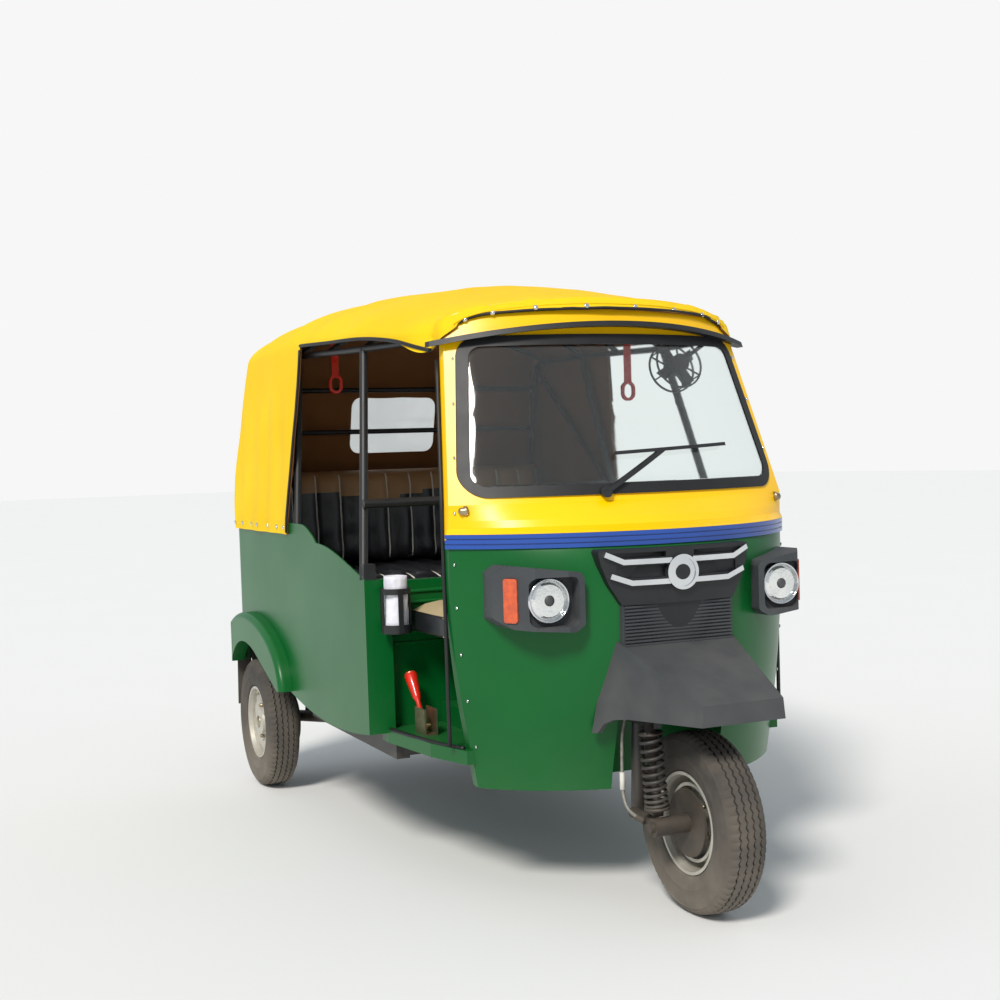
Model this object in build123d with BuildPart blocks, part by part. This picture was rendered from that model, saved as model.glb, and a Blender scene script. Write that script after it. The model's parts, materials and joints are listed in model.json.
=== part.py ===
# Three-wheeled passenger auto rickshaw, in mm.
# Forward is -Y, the vehicle's right is -X, up is +Z; the origin is on the ground, midway
# along the vehicle and on its centreline.
import math
import os

from build123d import *

os.makedirs("parts", exist_ok=True)

# Wheels and stance
wheelbase = 2000.0
front_y = -wheelbase / 2
rear_y = wheelbase / 2
tyre_r = 225.0
tyre_w = 110.0
bead_r = 127.0
rear_wheel_x = 560.0
steer_rake = 18.0
steer_ground_y = -1040.0
fit = 0.3

# Bodywork
sheet = 4.0
cloth = 6.0
tub_half = 600.0
tub_front_y = -248.0
tub_back_y = 1232.0
tub_corner_r = 70.0
floor_z = 390.0
belt_z0 = 910.0
belt_z1 = 946.0
split_z = 928.0
jamb = 30.0
well_half = 155.0
well_top_z = 600.0
canopy_foot_z = 912.0
canopy_front_y = -632.0

# Cowl plan sections: height, half width at the door edge, door edge y, nose y
COWL = [
    (290.0, 442.0, -640.0, -850.0),
    (450.0, 470.0, -640.0, -890.0),
    (600.0, 490.0, -638.0, -915.0),
    (760.0, 501.0, -638.0, -926.0),
    (860.0, 503.0, -640.0, -922.0),
    (split_z, 503.0, -642.0, -897.0),
]
BAND = [
    (split_z, 503.0, -642.0, -897.0),
    (980.0, 502.0, -644.0, -848.0),
    (1020.0, 501.0, -646.0, -798.0),
]
SCREEN = [
    (1020.0, 501.0, -646.0, -798.0),
    (1580.0, 424.0, -456.0, -583.0),
]
SCREEN_CORNERS = [(-481.0, 1036.0), (481.0, 1036.0), (414.0, 1457.0), (-414.0, 1457.0)]
seal_w = 28.0

# Canopy cross sections: y, half width at the shoulder, shoulder z, crown z
CANOPY = [
    (canopy_front_y, 450.0, 1462.0, 1552.0),
    (-300.0, 500.0, 1468.0, 1618.0),
    (200.0, 546.0, 1492.0, 1675.0),
    (700.0, 566.0, 1500.0, 1685.0),
    (1260.0, 568.0, 1490.0, 1650.0),
]
CANOPY_REAR = [(700.0, 1700.0), (860.0, 1662.0), (990.0, 1590.0), (1075.0, 1490.0), (1120.0, 1380.0)]
canopy_half = tub_half + cloth + fit
canopy_back_y = tub_back_y + cloth + fit

# Side of the tub, right-hand view: y and z of the top edge and of the wheel arch
SIDE_TOP = [(tub_front_y, 814.0), (-81.0, 853.0), (75.0, 885.0), (205.0, 896.0)]
HUMP = [(205.0, 896.0), (262.0, 925.0), (325.0, 945.0), (400.0, 949.0)]
side_top_z = 949.0
ARCH = [(560.0, 396.0), (655.0, 430.0), (775.0, 474.0), (900.0, 512.0), (990.0, 519.0),
        (1085.0, 500.0), (1150.0, 460.0), (1186.0, 425.0)]
FENDER = [(528.0, 398.0), (560.0, 478.0), (690.0, 566.0), (840.0, 608.0), (984.0, 620.0),
          (1110.0, 604.0), (1226.0, 556.0)]
fender_out = 645.0


def nose_face(z, half, edge_y, nose_y, grow=0.0, tail=jamb):
    """Plan section of the cowl, grown outward; its straight tails are the door jambs."""
    with BuildSketch(Plane.XY.offset(z), mode=Mode.PRIVATE) as outline:
        with BuildLine():
            ThreePointArc((-half - grow, edge_y), (0, nose_y - grow), (half + grow, edge_y))
            Polyline((half + grow, edge_y), (half + grow, edge_y + tail),
                     (-half - grow, edge_y + tail), (-half - grow, edge_y))
        make_face()
    return outline.sketch.faces()[0]


def hood_face(y, half, shoulder_z, crown_z, inset=0.0):
    """Cross section of the canopy: leaning sides under a half-elliptical crown."""
    with BuildSketch(Plane.XZ.offset(-y), mode=Mode.PRIVATE) as outline:
        with BuildLine():
            EllipticalCenterArc((0, shoulder_z), half - inset, crown_z - shoulder_z - inset,
                                start_angle=0, arc_size=180)
            Polyline((-half + inset, shoulder_z), (-canopy_half + inset, 956.0),
                     (-canopy_half + inset, 860.0), (canopy_half - inset, 860.0),
                     (canopy_half - inset, 956.0), (half - inset, shoulder_z))
        make_face()
    return outline.sketch.faces()[0]


def axis_y(z):
    """y of the steering axis at a height."""
    return steer_ground_y + z * 0.32492


# Solid bodies that several panels are trimmed against
with BuildPart() as nose_skin:
    loft([nose_face(*row) for row in COWL])
    loft([nose_face(*row) for row in BAND], ruled=True)

with BuildPart() as canopy_skin:
    loft([hood_face(*row) for row in CANOPY])
    with BuildSketch(Plane.YZ.offset(-700)):
        with BuildLine():
            Polyline((canopy_back_y, 850), (-700, 850), (-700, 1700), CANOPY_REAR[0])
            Spline(*CANOPY_REAR, tangents=((1, 0), (0.22, -1)))
            Polyline(CANOPY_REAR[-1], (canopy_back_y, 956), (canopy_back_y, 850))
        make_face()
    extrude(amount=1400, mode=Mode.INTERSECT)
    with BuildSketch(Plane.XY.offset(800)):
        with Locations((0, canopy_back_y - 1100)):
            RectangleRounded(2 * canopy_half, 2200, tub_corner_r + cloth)
    extrude(amount=1000, mode=Mode.INTERSECT)

with BuildPart() as canopy_hollow:
    loft([hood_face(y, half, z0, z1, cloth) for y, half, z0, z1 in
          [(canopy_front_y - 20, *CANOPY[0][1:])] + CANOPY[1:]])
    with BuildSketch(Plane.YZ.offset(-700)):
        with BuildLine():
            Polyline((canopy_back_y - cloth, 850), (-700, 850), (-700, 1694), (700, 1694))
            Spline((700, 1694), *[(y - 4, z - 5) for y, z in CANOPY_REAR[1:-1]],
                   (CANOPY_REAR[-1][0] - cloth, CANOPY_REAR[-1][1]), tangents=((1, 0), (0.22, -1)))
            Polyline((CANOPY_REAR[-1][0] - cloth, CANOPY_REAR[-1][1]), (canopy_back_y - cloth, 956),
                     (canopy_back_y - cloth, 850))
        make_face()
    extrude(amount=1400, mode=Mode.INTERSECT)
    with BuildSketch(Plane.XY.offset(800)):
        with Locations((0, canopy_back_y - cloth - 1100)):
            RectangleRounded(2 * (canopy_half - cloth), 2200, tub_corner_r)
    extrude(amount=1000, mode=Mode.INTERSECT)

with BuildPart() as header_trim:
    with Locations((0, -600, 1200)):
        Box(1400, 700, 500)
    add(canopy_hollow.part)

with BuildPart() as tub_skin:
    with BuildSketch(Plane.XY.offset(340)):
        with BuildLine():
            FilletPolyline((-tub_half, tub_front_y), (-tub_half, tub_back_y),
                           (tub_half, tub_back_y), (tub_half, tub_front_y), radius=tub_corner_r)
            Line((tub_half, tub_front_y), (-tub_half, tub_front_y))
        make_face()
    extrude(amount=side_top_z - 340)
    with BuildSketch(Plane.XY.offset(340)):
        with BuildLine():
            FilletPolyline((-tub_half + sheet, tub_front_y - 10), (-tub_half + sheet, tub_back_y - sheet),
                           (tub_half - sheet, tub_back_y - sheet), (tub_half - sheet, tub_front_y - 10),
                           radius=tub_corner_r - sheet)
            Line((tub_half - sheet, tub_front_y - 10), (-tub_half + sheet, tub_front_y - 10))
        make_face()
    extrude(amount=side_top_z - 340, mode=Mode.SUBTRACT)

# Side view of the tub panel with its sloped top edge and its wheel arch
with BuildPart() as side_trim:
    with BuildSketch(Plane.YZ.offset(-700)):
        with BuildLine():
            Spline(*SIDE_TOP)
            Spline(*HUMP, tangents=((0.8, 0.6), (1, 0)))
            Polyline(HUMP[-1], (1260, side_top_z), (1260, 425), ARCH[-1])
            Spline(*ARCH[::-1])
            ThreePointArc(ARCH[0], (150, 354), (tub_front_y, 380))
            Line((tub_front_y, 380), SIDE_TOP[0])
        make_face()
    extrude(amount=1400)

# Cowl
with BuildPart() as cowl_lower:
    loft([nose_face(*row) for row in COWL])
    loft([nose_face(*row, -sheet, jamb + 10) for row in COWL], mode=Mode.SUBTRACT)
    with BuildSketch(Plane.XZ):
        with BuildLine():
            FilletPolyline((-520, 1000), (-520, 290), (520, 290), (520, 1000), radius=95)
            Line((520, 1000), (-520, 1000))
        make_face()
    extrude(amount=1000, mode=Mode.INTERSECT)
    with BuildSketch(Plane.XZ):
        with BuildLine():
            FilletPolyline((-well_half, 200), (-well_half, well_top_z), (well_half, well_top_z),
                           (well_half, 200), radius=70)
            Line((well_half, 200), (-well_half, 200))
        make_face()
    extrude(amount=1000, mode=Mode.SUBTRACT)
cowl_lower.part.label = "cowl_lower"
export_step(cowl_lower.part, "parts/cowl_lower.step")

with BuildPart() as cowl_upper:
    loft([nose_face(*row) for row in BAND], ruled=True)
    loft([nose_face(*row) for row in SCREEN], ruled=True)
    loft([nose_face(*row, -sheet, jamb + 10) for row in BAND], ruled=True, mode=Mode.SUBTRACT)
    loft([nose_face(*row, -sheet, jamb + 10) for row in SCREEN], ruled=True, mode=Mode.SUBTRACT)
    with BuildSketch(Plane.XZ):
        with BuildLine():
            FilletPolyline(*SCREEN_CORNERS, radius=62, close=True)
        make_face()
    extrude(amount=1000, mode=Mode.SUBTRACT)
    add(header_trim.part, mode=Mode.INTERSECT)
cowl_upper.part.label = "cowl_upper"
export_step(cowl_upper.part, "parts/cowl_upper.step")

with BuildPart() as belt_moulding:
    rib = (belt_z1 - belt_z0 - 6) / 3
    for low in (belt_z0, belt_z0 + rib + 3, belt_z0 + 2 * rib + 6):
        with BuildSketch(Plane.XY.offset(low)):
            with BuildLine():
                ThreePointArc((-512, -640), (0, -911), (512, -640))
                Line((512, -640), (-512, -640))
            make_face()
        extrude(amount=rib)
    with BuildSketch(Plane.XY.offset(belt_z0 + 1)):
        with BuildLine():
            ThreePointArc((-508, -640), (0, -907), (508, -640))
            Line((508, -640), (-508, -640))
        make_face()
    extrude(amount=belt_z1 - belt_z0 - 2)
    add(nose_skin.part, mode=Mode.SUBTRACT)
belt_moulding.part.label = "belt_moulding"
export_step(belt_moulding.part, "parts/belt_moulding.step")

# Windscreen
with BuildPart() as windscreen_seal:
    loft([nose_face(*row, 6) for row in SCREEN], ruled=True)
    loft([nose_face(*row, -9, jamb + 10) for row in SCREEN], ruled=True, mode=Mode.SUBTRACT)
    with BuildSketch(Plane.XZ):
        with BuildLine():
            FilletPolyline(*SCREEN_CORNERS, radius=62, close=True)
        make_face()
        offset(amount=-fit)
    extrude(amount=1000, mode=Mode.INTERSECT)
    with BuildSketch(Plane.XZ):
        with BuildLine():
            FilletPolyline(*SCREEN_CORNERS, radius=62, close=True)
        make_face()
        offset(amount=-seal_w)
    extrude(amount=1000, mode=Mode.SUBTRACT)
windscreen_seal.part.label = "windscreen_seal"
export_step(windscreen_seal.part, "parts/windscreen_seal.step")

with BuildPart() as windscreen:
    loft([nose_face(*row) for row in SCREEN], ruled=True)
    loft([nose_face(*row, -5, jamb + 10) for row in SCREEN], ruled=True, mode=Mode.SUBTRACT)
    with BuildSketch(Plane.XZ):
        with BuildLine():
            FilletPolyline(*SCREEN_CORNERS, radius=62, close=True)
        make_face()
        offset(amount=-seal_w - fit)
    extrude(amount=1000, mode=Mode.INTERSECT)
windscreen.part.label = "windscreen"
export_step(windscreen.part, "parts/windscreen.step")

with BuildPart() as visor:
    loft([nose_face(*row, 40) for row in SCREEN], ruled=True)
    loft([nose_face(*row, 0, jamb + 10) for row in SCREEN], ruled=True, mode=Mode.SUBTRACT)
    with BuildSketch(Plane.XZ):
        with BuildLine():
            ThreePointArc((-500, 1444), (0, 1490), (500, 1444))
            Line((500, 1444), (500, 1430))
            ThreePointArc((500, 1430), (0, 1476), (-500, 1430))
            Line((-500, 1430), (-500, 1444))
        make_face()
    extrude(amount=1000, mode=Mode.INTERSECT)
    with Locations((0, -380, 1450)):
        Box(1200, 160, 200, mode=Mode.SUBTRACT)
    add(windscreen_seal.part, mode=Mode.SUBTRACT)
visor.part.label = "visor"
export_step(visor.part, "parts/visor.step")

with BuildPart() as wiper:
    loft([nose_face(*row, 20) for row in SCREEN], ruled=True)
    loft([nose_face(*row, 8, jamb + 10) for row in SCREEN], ruled=True, mode=Mode.SUBTRACT)
    with BuildSketch(Plane.XZ):
        with BuildLine():
            Polyline((-80, 1140), (280, 1156))
        trace(line_width=9)
        with BuildLine():
            Polyline((-128, 1042), (60, 1146))
        trace(line_width=11)
        with Locations((-128, 1042)):
            Circle(14)
    extrude(amount=1000, mode=Mode.INTERSECT)
    with BuildSketch(Plane.XZ.offset(700)):
        with Locations((-128, 1042)):
            Circle(8)
    extrude(amount=100)
    loft([nose_face(*row, 6.3, jamb + 300) for row in SCREEN], ruled=True, mode=Mode.SUBTRACT)
wiper.part.label = "wiper"
export_step(wiper.part, "parts/wiper.step")

# Grille, lamps and mudguard on the nose
GRILLE = [(-218.0, 903.0), (-211.0, 866.0), (-192.0, 816.0), (-160.0, 764.0),
          (160.0, 764.0), (192.0, 816.0), (211.0, 866.0), (218.0, 903.0)]
with BuildPart() as grille_panel:
    with BuildSketch(Plane.XZ.offset(800)):
        with BuildLine():
            FilletPolyline(*GRILLE, radius=8, close=True)
        make_face()
    extrude(amount=140)
    with BuildSketch(Plane.XY.offset(740)):
        with BuildLine():
            ThreePointArc((-230, -906), (0, -936), (230, -906))
            Polyline((230, -906), (230, -780), (-230, -780), (-230, -906))
        make_face()
    extrude(amount=200, mode=Mode.INTERSECT)
    for side in (-1, 1):
        for z_low, z_high, x_in, x_out in ((830, 860, 40, 172), (880, 893, 40, 190)):
            with BuildSketch(Plane.XZ.offset(914)):
                with Locations((side * (x_in + x_out) / 2, (z_low + z_high) / 2)):
                    Rectangle(x_out - x_in, z_high - z_low)
            extrude(amount=60, mode=Mode.SUBTRACT)
    add(nose_skin.part, mode=Mode.SUBTRACT)
grille_panel.part.label = "grille_panel"
export_step(grille_panel.part, "parts/grille_panel.step")

with BuildPart() as grille_brightwork:
    with BuildSketch(Plane.XY.offset(780)):
        with BuildLine():
            ThreePointArc((-230, -918), (0, -948), (230, -918))
            Line((230, -918), (230, -906))
            ThreePointArc((230, -906), (0, -936.3), (-230, -906))
            Line((-230, -906), (-230, -918))
        make_face()
    extrude(amount=140)
    with BuildSketch(Plane.XZ.offset(850)):
        for side in (-1, 1):
            for tip, bend, z_tip, z_bar in ((205, 158, 892, 871), (191, 138, 838, 819)):
                with BuildLine():
                    Polyline((side * 30, z_bar), (side * bend, z_bar), (side * tip, z_tip))
                trace(line_width=13)
        with Locations((0, 840)):
            Circle(44)
    extrude(amount=140, mode=Mode.INTERSECT)
    with BuildSketch(Plane.XZ.offset(936.6)):
        with Locations((0, 840)):
            Circle(44)
            Circle(36, mode=Mode.SUBTRACT)
    extrude(amount=14)
grille_brightwork.part.label = "grille_brightwork"
export_step(grille_brightwork.part, "parts/grille_brightwork.step")

LAMP = [(-452.0, 742.0), (-452.0, 846.0), (-425.0, 872.0), (-262.0, 852.0), (-252.0, 838.0),
        (-252.0, 722.0), (-280.0, 706.0), (-418.0, 716.0)]
LAMP_PLAN = [(-238.0, -800.0), (-244.0, -902.0), (-300.0, -912.0), (-384.0, -890.0),
             (-458.0, -782.0), (-440.0, -700.0), (-380.0, -720.0)]
with BuildPart() as headlamp_housings:
    with BuildSketch(Plane.XZ.offset(650)):
        with BuildLine():
            FilletPolyline(*LAMP, radius=14, close=True)
        make_face()
    extrude(amount=300)
    with BuildSketch(Plane.XY.offset(690)):
        with BuildLine():
            FilletPolyline(*LAMP_PLAN, radius=12, close=True)
        make_face()
    extrude(amount=200, mode=Mode.INTERSECT)
    with BuildSketch(Plane.XZ.offset(866)):
        with Locations((-330, 782)):
            RectangleRounded(124, 122, 20)
    extrude(amount=100, mode=Mode.SUBTRACT)
    with BuildSketch(Plane((-421, -836, 787), x_dir=(0.565, -0.825, 0), z_dir=(-0.825, -0.565, 0))):
        RectangleRounded(40, 110, 8)
    extrude(amount=-8, mode=Mode.SUBTRACT)
    with BuildSketch(Plane((-421, -836, 787), x_dir=(0.565, -0.825, 0), z_dir=(-0.825, -0.565, 0))):
        RectangleRounded(40, 110, 8)
    extrude(amount=60, mode=Mode.SUBTRACT)
    add(nose_skin.part, mode=Mode.SUBTRACT)
    mirror(about=Plane.YZ)
headlamp_housings.part.label = "headlamp_housings"
export_step(headlamp_housings.part, "parts/headlamp_housings.step")

with BuildPart() as headlamp_lenses:
    for x in (-338, 338):
        with BuildSketch(Plane.XZ.offset(866)):
            with Locations((x, 785)):
                Circle(53)
        extrude(amount=8)
        with BuildSketch(Plane.XZ.offset(874)):
            with Locations((x, 785)):
                Circle(50)
        extrude(amount=6, taper=60)
headlamp_lenses.part.label = "headlamp_lenses"
export_step(headlamp_lenses.part, "parts/headlamp_lenses.step")

with BuildPart() as indicators:
    with BuildSketch(Plane((-421, -836, 787), x_dir=(0.565, -0.825, 0), z_dir=(-0.825, -0.565, 0)).offset(-7.7)):
        RectangleRounded(39, 109, 7.5)
    extrude(amount=12)
    mirror(about=Plane.YZ)
indicators.part.label = "indicators"
export_step(indicators.part, "parts/indicators.step")

MUD_REAR = [(-172.0, 684.0), (172.0, 684.0), (226.0, 446.0), (-226.0, 446.0)]
MUD_FRONT = [(-110.0, 550.0), (110.0, 550.0), (116.0, 492.0), (-116.0, 492.0)]
with BuildPart() as front_mudguard:
    for y, corners in ((-866.0, MUD_REAR), (-1206.0, MUD_FRONT)):
        with BuildSketch(Plane.XZ.offset(-y)):
            Polygon(*corners, align=None)
    loft(ruled=True)
    for y, corners, trim in ((-850.0, MUD_REAR, 3.0), (-1202.0, MUD_FRONT, 4.0)):
        with BuildSketch(Plane.XZ.offset(-y)):
            Polygon(*[(x - trim * (1 if x > 0 else -1), z - (4.5 if z > 500 else 30)) for x, z in corners],
                    align=None)
    loft(ruled=True, mode=Mode.SUBTRACT)
    with BuildSketch(Plane.YZ.offset(-300)):
        with BuildLine():
            Polyline((-1240, 501), (-980, 492), (-930, 486), (-900, 472), (-884, 446), (-850, 446),
                     (-850, 700), (-1240, 700), (-1240, 501))
        make_face()
    extrude(amount=600, mode=Mode.INTERSECT)
    with BuildSketch(Plane.XZ.offset(860)):
        with Locations((0, 712)):
            Rectangle(316, 108)
    extrude(amount=58)
    for row in range(12):
        with BuildSketch(Plane.XZ.offset(918)):
            with Locations((0, 664 + row * 8.6)):
                Rectangle(308, 4.4)
        extrude(amount=7)
    add(nose_skin.part, mode=Mode.SUBTRACT)
    add(grille_panel.part, mode=Mode.SUBTRACT)
front_mudguard.part.label = "front_mudguard"
export_step(front_mudguard.part, "parts/front_mudguard.step")

# Floor, front wheel housing and frame
with BuildPart() as wheel_housing:
    with Locations((0, -800, 452)):
        Box(476, 276, 322)
    with Locations((0, -810, 440)):
        Box(476 - 2 * sheet, 288, 338, mode=Mode.SUBTRACT)
    loft([nose_face(*row, -sheet - 0.5, jamb + 10) for row in COWL], mode=Mode.INTERSECT)
    with BuildSketch(Plane.XY.offset(590)):
        with Locations((0, axis_y(610))):
            Circle(48)
    extrude(amount=60, mode=Mode.SUBTRACT)
wheel_housing.part.label = "wheel_housing"
export_step(wheel_housing.part, "parts/wheel_housing.step")

with BuildPart() as frame_rails:
    for x in (-260, 260):
        with Locations((x, 240, 332)):
            Box(44, 1720, 60)
    for x in (-500, 500):
        with Locations((x, 170, 330)):
            Box(40, 820, 56)
    for y, half in ((-560, 260), (-220, 500), (140, 500), (560, 500), (1080, 260)):
        with Locations((0, y, 335)):
            Box(2 * half, 44, 50)
    for y in (-560, -220, 140):
        with Locations((0, y, 372)):
            Box(520, 40, 27.8)
    for x in (-420, 420):
        with Locations((x, 600, 320)):
            Box(60, 70, 70)
    for side in (-1, 1):
        with Locations((side * 345, 890, 335)):
            Box(140, 40, 40)
        with Locations((side * 400, 890, 430)):
            Box(30, 40, 200)
frame_rails.part.label = "frame_rails"
export_step(frame_rails.part, "parts/frame_rails.step")

with BuildPart() as steering_head:
    for side in (-1, 1):
        with BuildLine() as strut:
            FilletPolyline((side * 262, -606, 350), (side * 254, -636, 640), (side * 24, axis_y(740), 740),
                           radius=70)
        with BuildSketch(Plane(strut.line @ 0, z_dir=strut.line % 0)):
            Circle(13)
        sweep(path=strut.line)
    with BuildSketch(Plane((0, axis_y(650), 650), z_dir=(0, 0.309, 0.951))):
        Circle(31)
    extrude(amount=220)
    with BuildSketch(Plane((0, axis_y(645), 645), z_dir=(0, 0.309, 0.951)).offset(-30)):
        Circle(22.3)
    extrude(amount=300, mode=Mode.SUBTRACT)
    add(frame_rails.part, mode=Mode.SUBTRACT)
steering_head.part.label = "steering_head"
export_step(steering_head.part, "parts/steering_head.step")

# Tub
with BuildPart() as tub_side_right:
    add(tub_skin.part)
    add(side_trim.part, mode=Mode.INTERSECT)
    with Locations((-650, 490, 640)):
        Box(499.8, 1500, 700, mode=Mode.INTERSECT)
    with BuildSketch(Plane.XY.offset(380)):
        with Locations((-561, tub_front_y + 24)):
            Rectangle(77.5, 48)
    extrude(amount=430)
tub_side_right.part.label = "tub_side_right"
export_step(tub_side_right.part, "parts/tub_side_right.step")

with BuildPart() as tub_side_left:
    add(tub_skin.part)
    add(side_trim.part, mode=Mode.INTERSECT)
    with Locations((650, 490, 640)):
        Box(499.8, 1500, 700, mode=Mode.INTERSECT)
    with BuildSketch(Plane.YZ.offset(500)):
        with BuildLine():
            FilletPolyline((tub_front_y + 50, 1000), (tub_front_y + 50, floor_z), (330, floor_z),
                           (330, 1000), radius=60)
            Line((330, 1000), (tub_front_y + 50, 1000))
        make_face()
    extrude(amount=150, mode=Mode.SUBTRACT)
    with BuildSketch(Plane.XY.offset(380)):
        with Locations((561, tub_front_y + 24)):
            Rectangle(77.5, 48)
    extrude(amount=430)
tub_side_left.part.label = "tub_side_left"
export_step(tub_side_left.part, "parts/tub_side_left.step")

FLOOR = [(-546.0, tub_front_y), (-516.0, -500.0), (-474.0, -648.0), (474.0, -648.0),
         (516.0, -500.0), (546.0, tub_front_y), (595.7, tub_front_y + 6), (595.7, 470.0),
         (-595.7, 470.0), (-595.7, tub_front_y + 6)]
with BuildPart() as floor_pan:
    with BuildSketch(Plane.XY.offset(floor_z - sheet)):
        Polygon(*FLOOR, align=None)
    extrude(amount=sheet)
    with BuildSketch(Plane.XY.offset(floor_z - 36)):
        Polygon(*FLOOR[:6], (546.0, -200.0), (-546.0, -200.0), align=None)
        offset(amount=-6, mode=Mode.SUBTRACT, kind=Kind.INTERSECTION)
    extrude(amount=34)
    with Locations((0, 118, floor_z + 2)):
        Box(960, 580, 4.2)
    with Locations((0, -340, floor_z + 28)):
        Box(740, 250, 58)
    with Locations((0, -342, 555)):
        Box(330, 190, 220)
    with Locations((0, -657, 345)):
        Box(480, 40, 200, mode=Mode.SUBTRACT)
    for neighbour in (cowl_lower, frame_rails, steering_head, tub_side_right, tub_side_left):
        add(neighbour.part, mode=Mode.SUBTRACT)
floor_pan.part.label = "floor_pan"
export_step(floor_pan.part, "parts/floor_pan.step")

HATCH_X, HATCH_Z0, HATCH_Z1 = 330.0, 450.0, 800.0
knuckle_y = tub_back_y + 4
knuckle_z = HATCH_Z1 - 2
with BuildPart() as rear_panel:
    add(tub_skin.part)
    with Locations((0, tub_back_y, 687)):
        Box(799.6, 60, 524, mode=Mode.INTERSECT)
    with BuildSketch(Plane.XZ.offset(-1300)):
        with Locations((0, (HATCH_Z0 + HATCH_Z1) / 2)):
            RectangleRounded(2 * HATCH_X, HATCH_Z1 - HATCH_Z0, 30)
    extrude(amount=200, mode=Mode.SUBTRACT)
    for x in (-231, -169, 169, 231):
        with BuildSketch(Plane.YZ.offset(x - 10)):
            with Locations((knuckle_y, knuckle_z)):
                Circle(3)
            with Locations((knuckle_y - 2, knuckle_z + 8)):
                Rectangle(4, 16)
        extrude(amount=20)
rear_panel.part.label = "rear_panel"
export_step(rear_panel.part, "parts/rear_panel.step")

with BuildPart() as rear_hatch:
    with BuildSketch(Plane.XZ.offset(-tub_back_y)):
        with Locations((0, (HATCH_Z0 + HATCH_Z1) / 2)):
            RectangleRounded(2 * HATCH_X - 11, HATCH_Z1 - HATCH_Z0 - 11, 25)
    extrude(amount=sheet)
    for row in range(7):
        with Locations((0, tub_back_y - sheet - 3, 520 + row * 26)):
            Box(460, 8, 8)
    for x in (-200, 200):
        with BuildSketch(Plane.YZ.offset(x - 20.7)):
            with Locations((knuckle_y, knuckle_z)):
                Circle(3)
            with Locations((knuckle_y - 2.5, knuckle_z - 10)):
                Rectangle(5, 20)
        extrude(amount=41.4)
    with Locations((0, tub_back_y + 3, 480)):
        Box(90, 6, 16)
rear_hatch.part.label = "rear_hatch"
export_step(rear_hatch.part, "parts/rear_hatch.step")

with BuildPart() as fenders:
    with BuildSketch(Plane.YZ.offset(-fender_out)):
        with BuildLine():
            Spline(*FENDER)
            Polyline(FENDER[-1], (1228, 425), ARCH[-1])
            Spline(*ARCH[::-1])
            Line(ARCH[0], FENDER[0])
        make_face()
    extrude(amount=fender_out - tub_half - fit)
    fillet(fenders.faces().sort_by(Axis.X)[0].edges().filter_by(GeomType.BSPLINE).sort_by(Axis.Z)[-1], 20)
    with BuildSketch(Plane.XY.offset(380)):
        with Locations((-tub_half - 60, tub_back_y - 40)):
            Rectangle(200, 80)
        with Locations((-tub_half + 30, tub_back_y - 70)):
            Circle(75, mode=Mode.SUBTRACT)
        with Locations((-tub_half + 60, tub_back_y - 110)):
            Rectangle(200, 80, mode=Mode.SUBTRACT)
    extrude(amount=400, mode=Mode.SUBTRACT)
    mirror(about=Plane.YZ)
fenders.part.label = "fenders"
export_step(fenders.part, "parts/fenders.step")

with BuildPart() as bulkhead:
    with Locations((0, -204, 595.2)):
        Box(1044, sheet, 409.6)
    with Locations((0, -186, 798)):
        Box(1044, 36, sheet)
    for z in (768, 737, 652, 622):
        with BuildSketch(Plane.YZ.offset(-505)):
            with Locations((-206, z)):
                Circle(6)
        extrude(amount=1010)
bulkhead.part.label = "bulkhead"
export_step(bulkhead.part, "parts/bulkhead.step")

# Seats
with BuildPart() as seat_base:
    with Locations((0, 472, 515.3)):
        Box(1191, sheet, 250)
    with Locations((0, 842, 638)):
        Box(1191, 742, sheet)
    for side in (-1, 1):
        with Locations((side * 480, 955, 594)):
            Box(sheet, 510, 90)
        with Locations((side * 537, 955, 549)):
            Box(117, 510, sheet)
        with Locations((side * 537, 702, 594)):
            Box(117, sheet, 90)
    with BuildSketch(Plane.XY.offset(380)):
        with Locations((0, tub_back_y - sheet - 500)):
            RectangleRounded(2 * (tub_half - sheet), 1000, tub_corner_r - sheet)
    extrude(amount=300, mode=Mode.INTERSECT)
seat_base.part.label = "seat_base"
export_step(seat_base.part, "parts/seat_base.step")

with BuildPart() as rear_seat_cushion:
    with Locations((0, 770, 705.3)):
        Box(1120, 670, 130)
    fillet(rear_seat_cushion.edges().filter_by(Axis.X).group_by(Axis.Z)[-1], 34)
    with Locations((0, 450, 655)):
        Box(1120, 60, 28)
rear_seat_cushion.part.label = "rear_seat_cushion"
export_step(rear_seat_cushion.part, "parts/rear_seat_cushion.step")

with BuildPart() as rear_seat_back:
    with BuildSketch(Plane.YZ.offset(-540)):
        with BuildLine():
            FilletPolyline((950, 770.5), (1024, 1098), (1064, 1112), (1110, 1096), (1090, 770.5),
                           radius=16)
            Line((1090, 770.5), (950, 770.5))
        make_face()
    extrude(amount=1080)
rear_seat_back.part.label = "rear_seat_back"
export_step(rear_seat_back.part, "parts/rear_seat_back.step")

with BuildPart() as driver_seat:
    with Locations((0, -365, 705.3)):
        Box(930, 270, 80)
    fillet(driver_seat.edges().filter_by(Axis.Z), 30)
    with Locations((0, -208, 1022)):
        Box(380, 25.6, 72)
driver_seat.part.label = "driver_seat"

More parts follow.
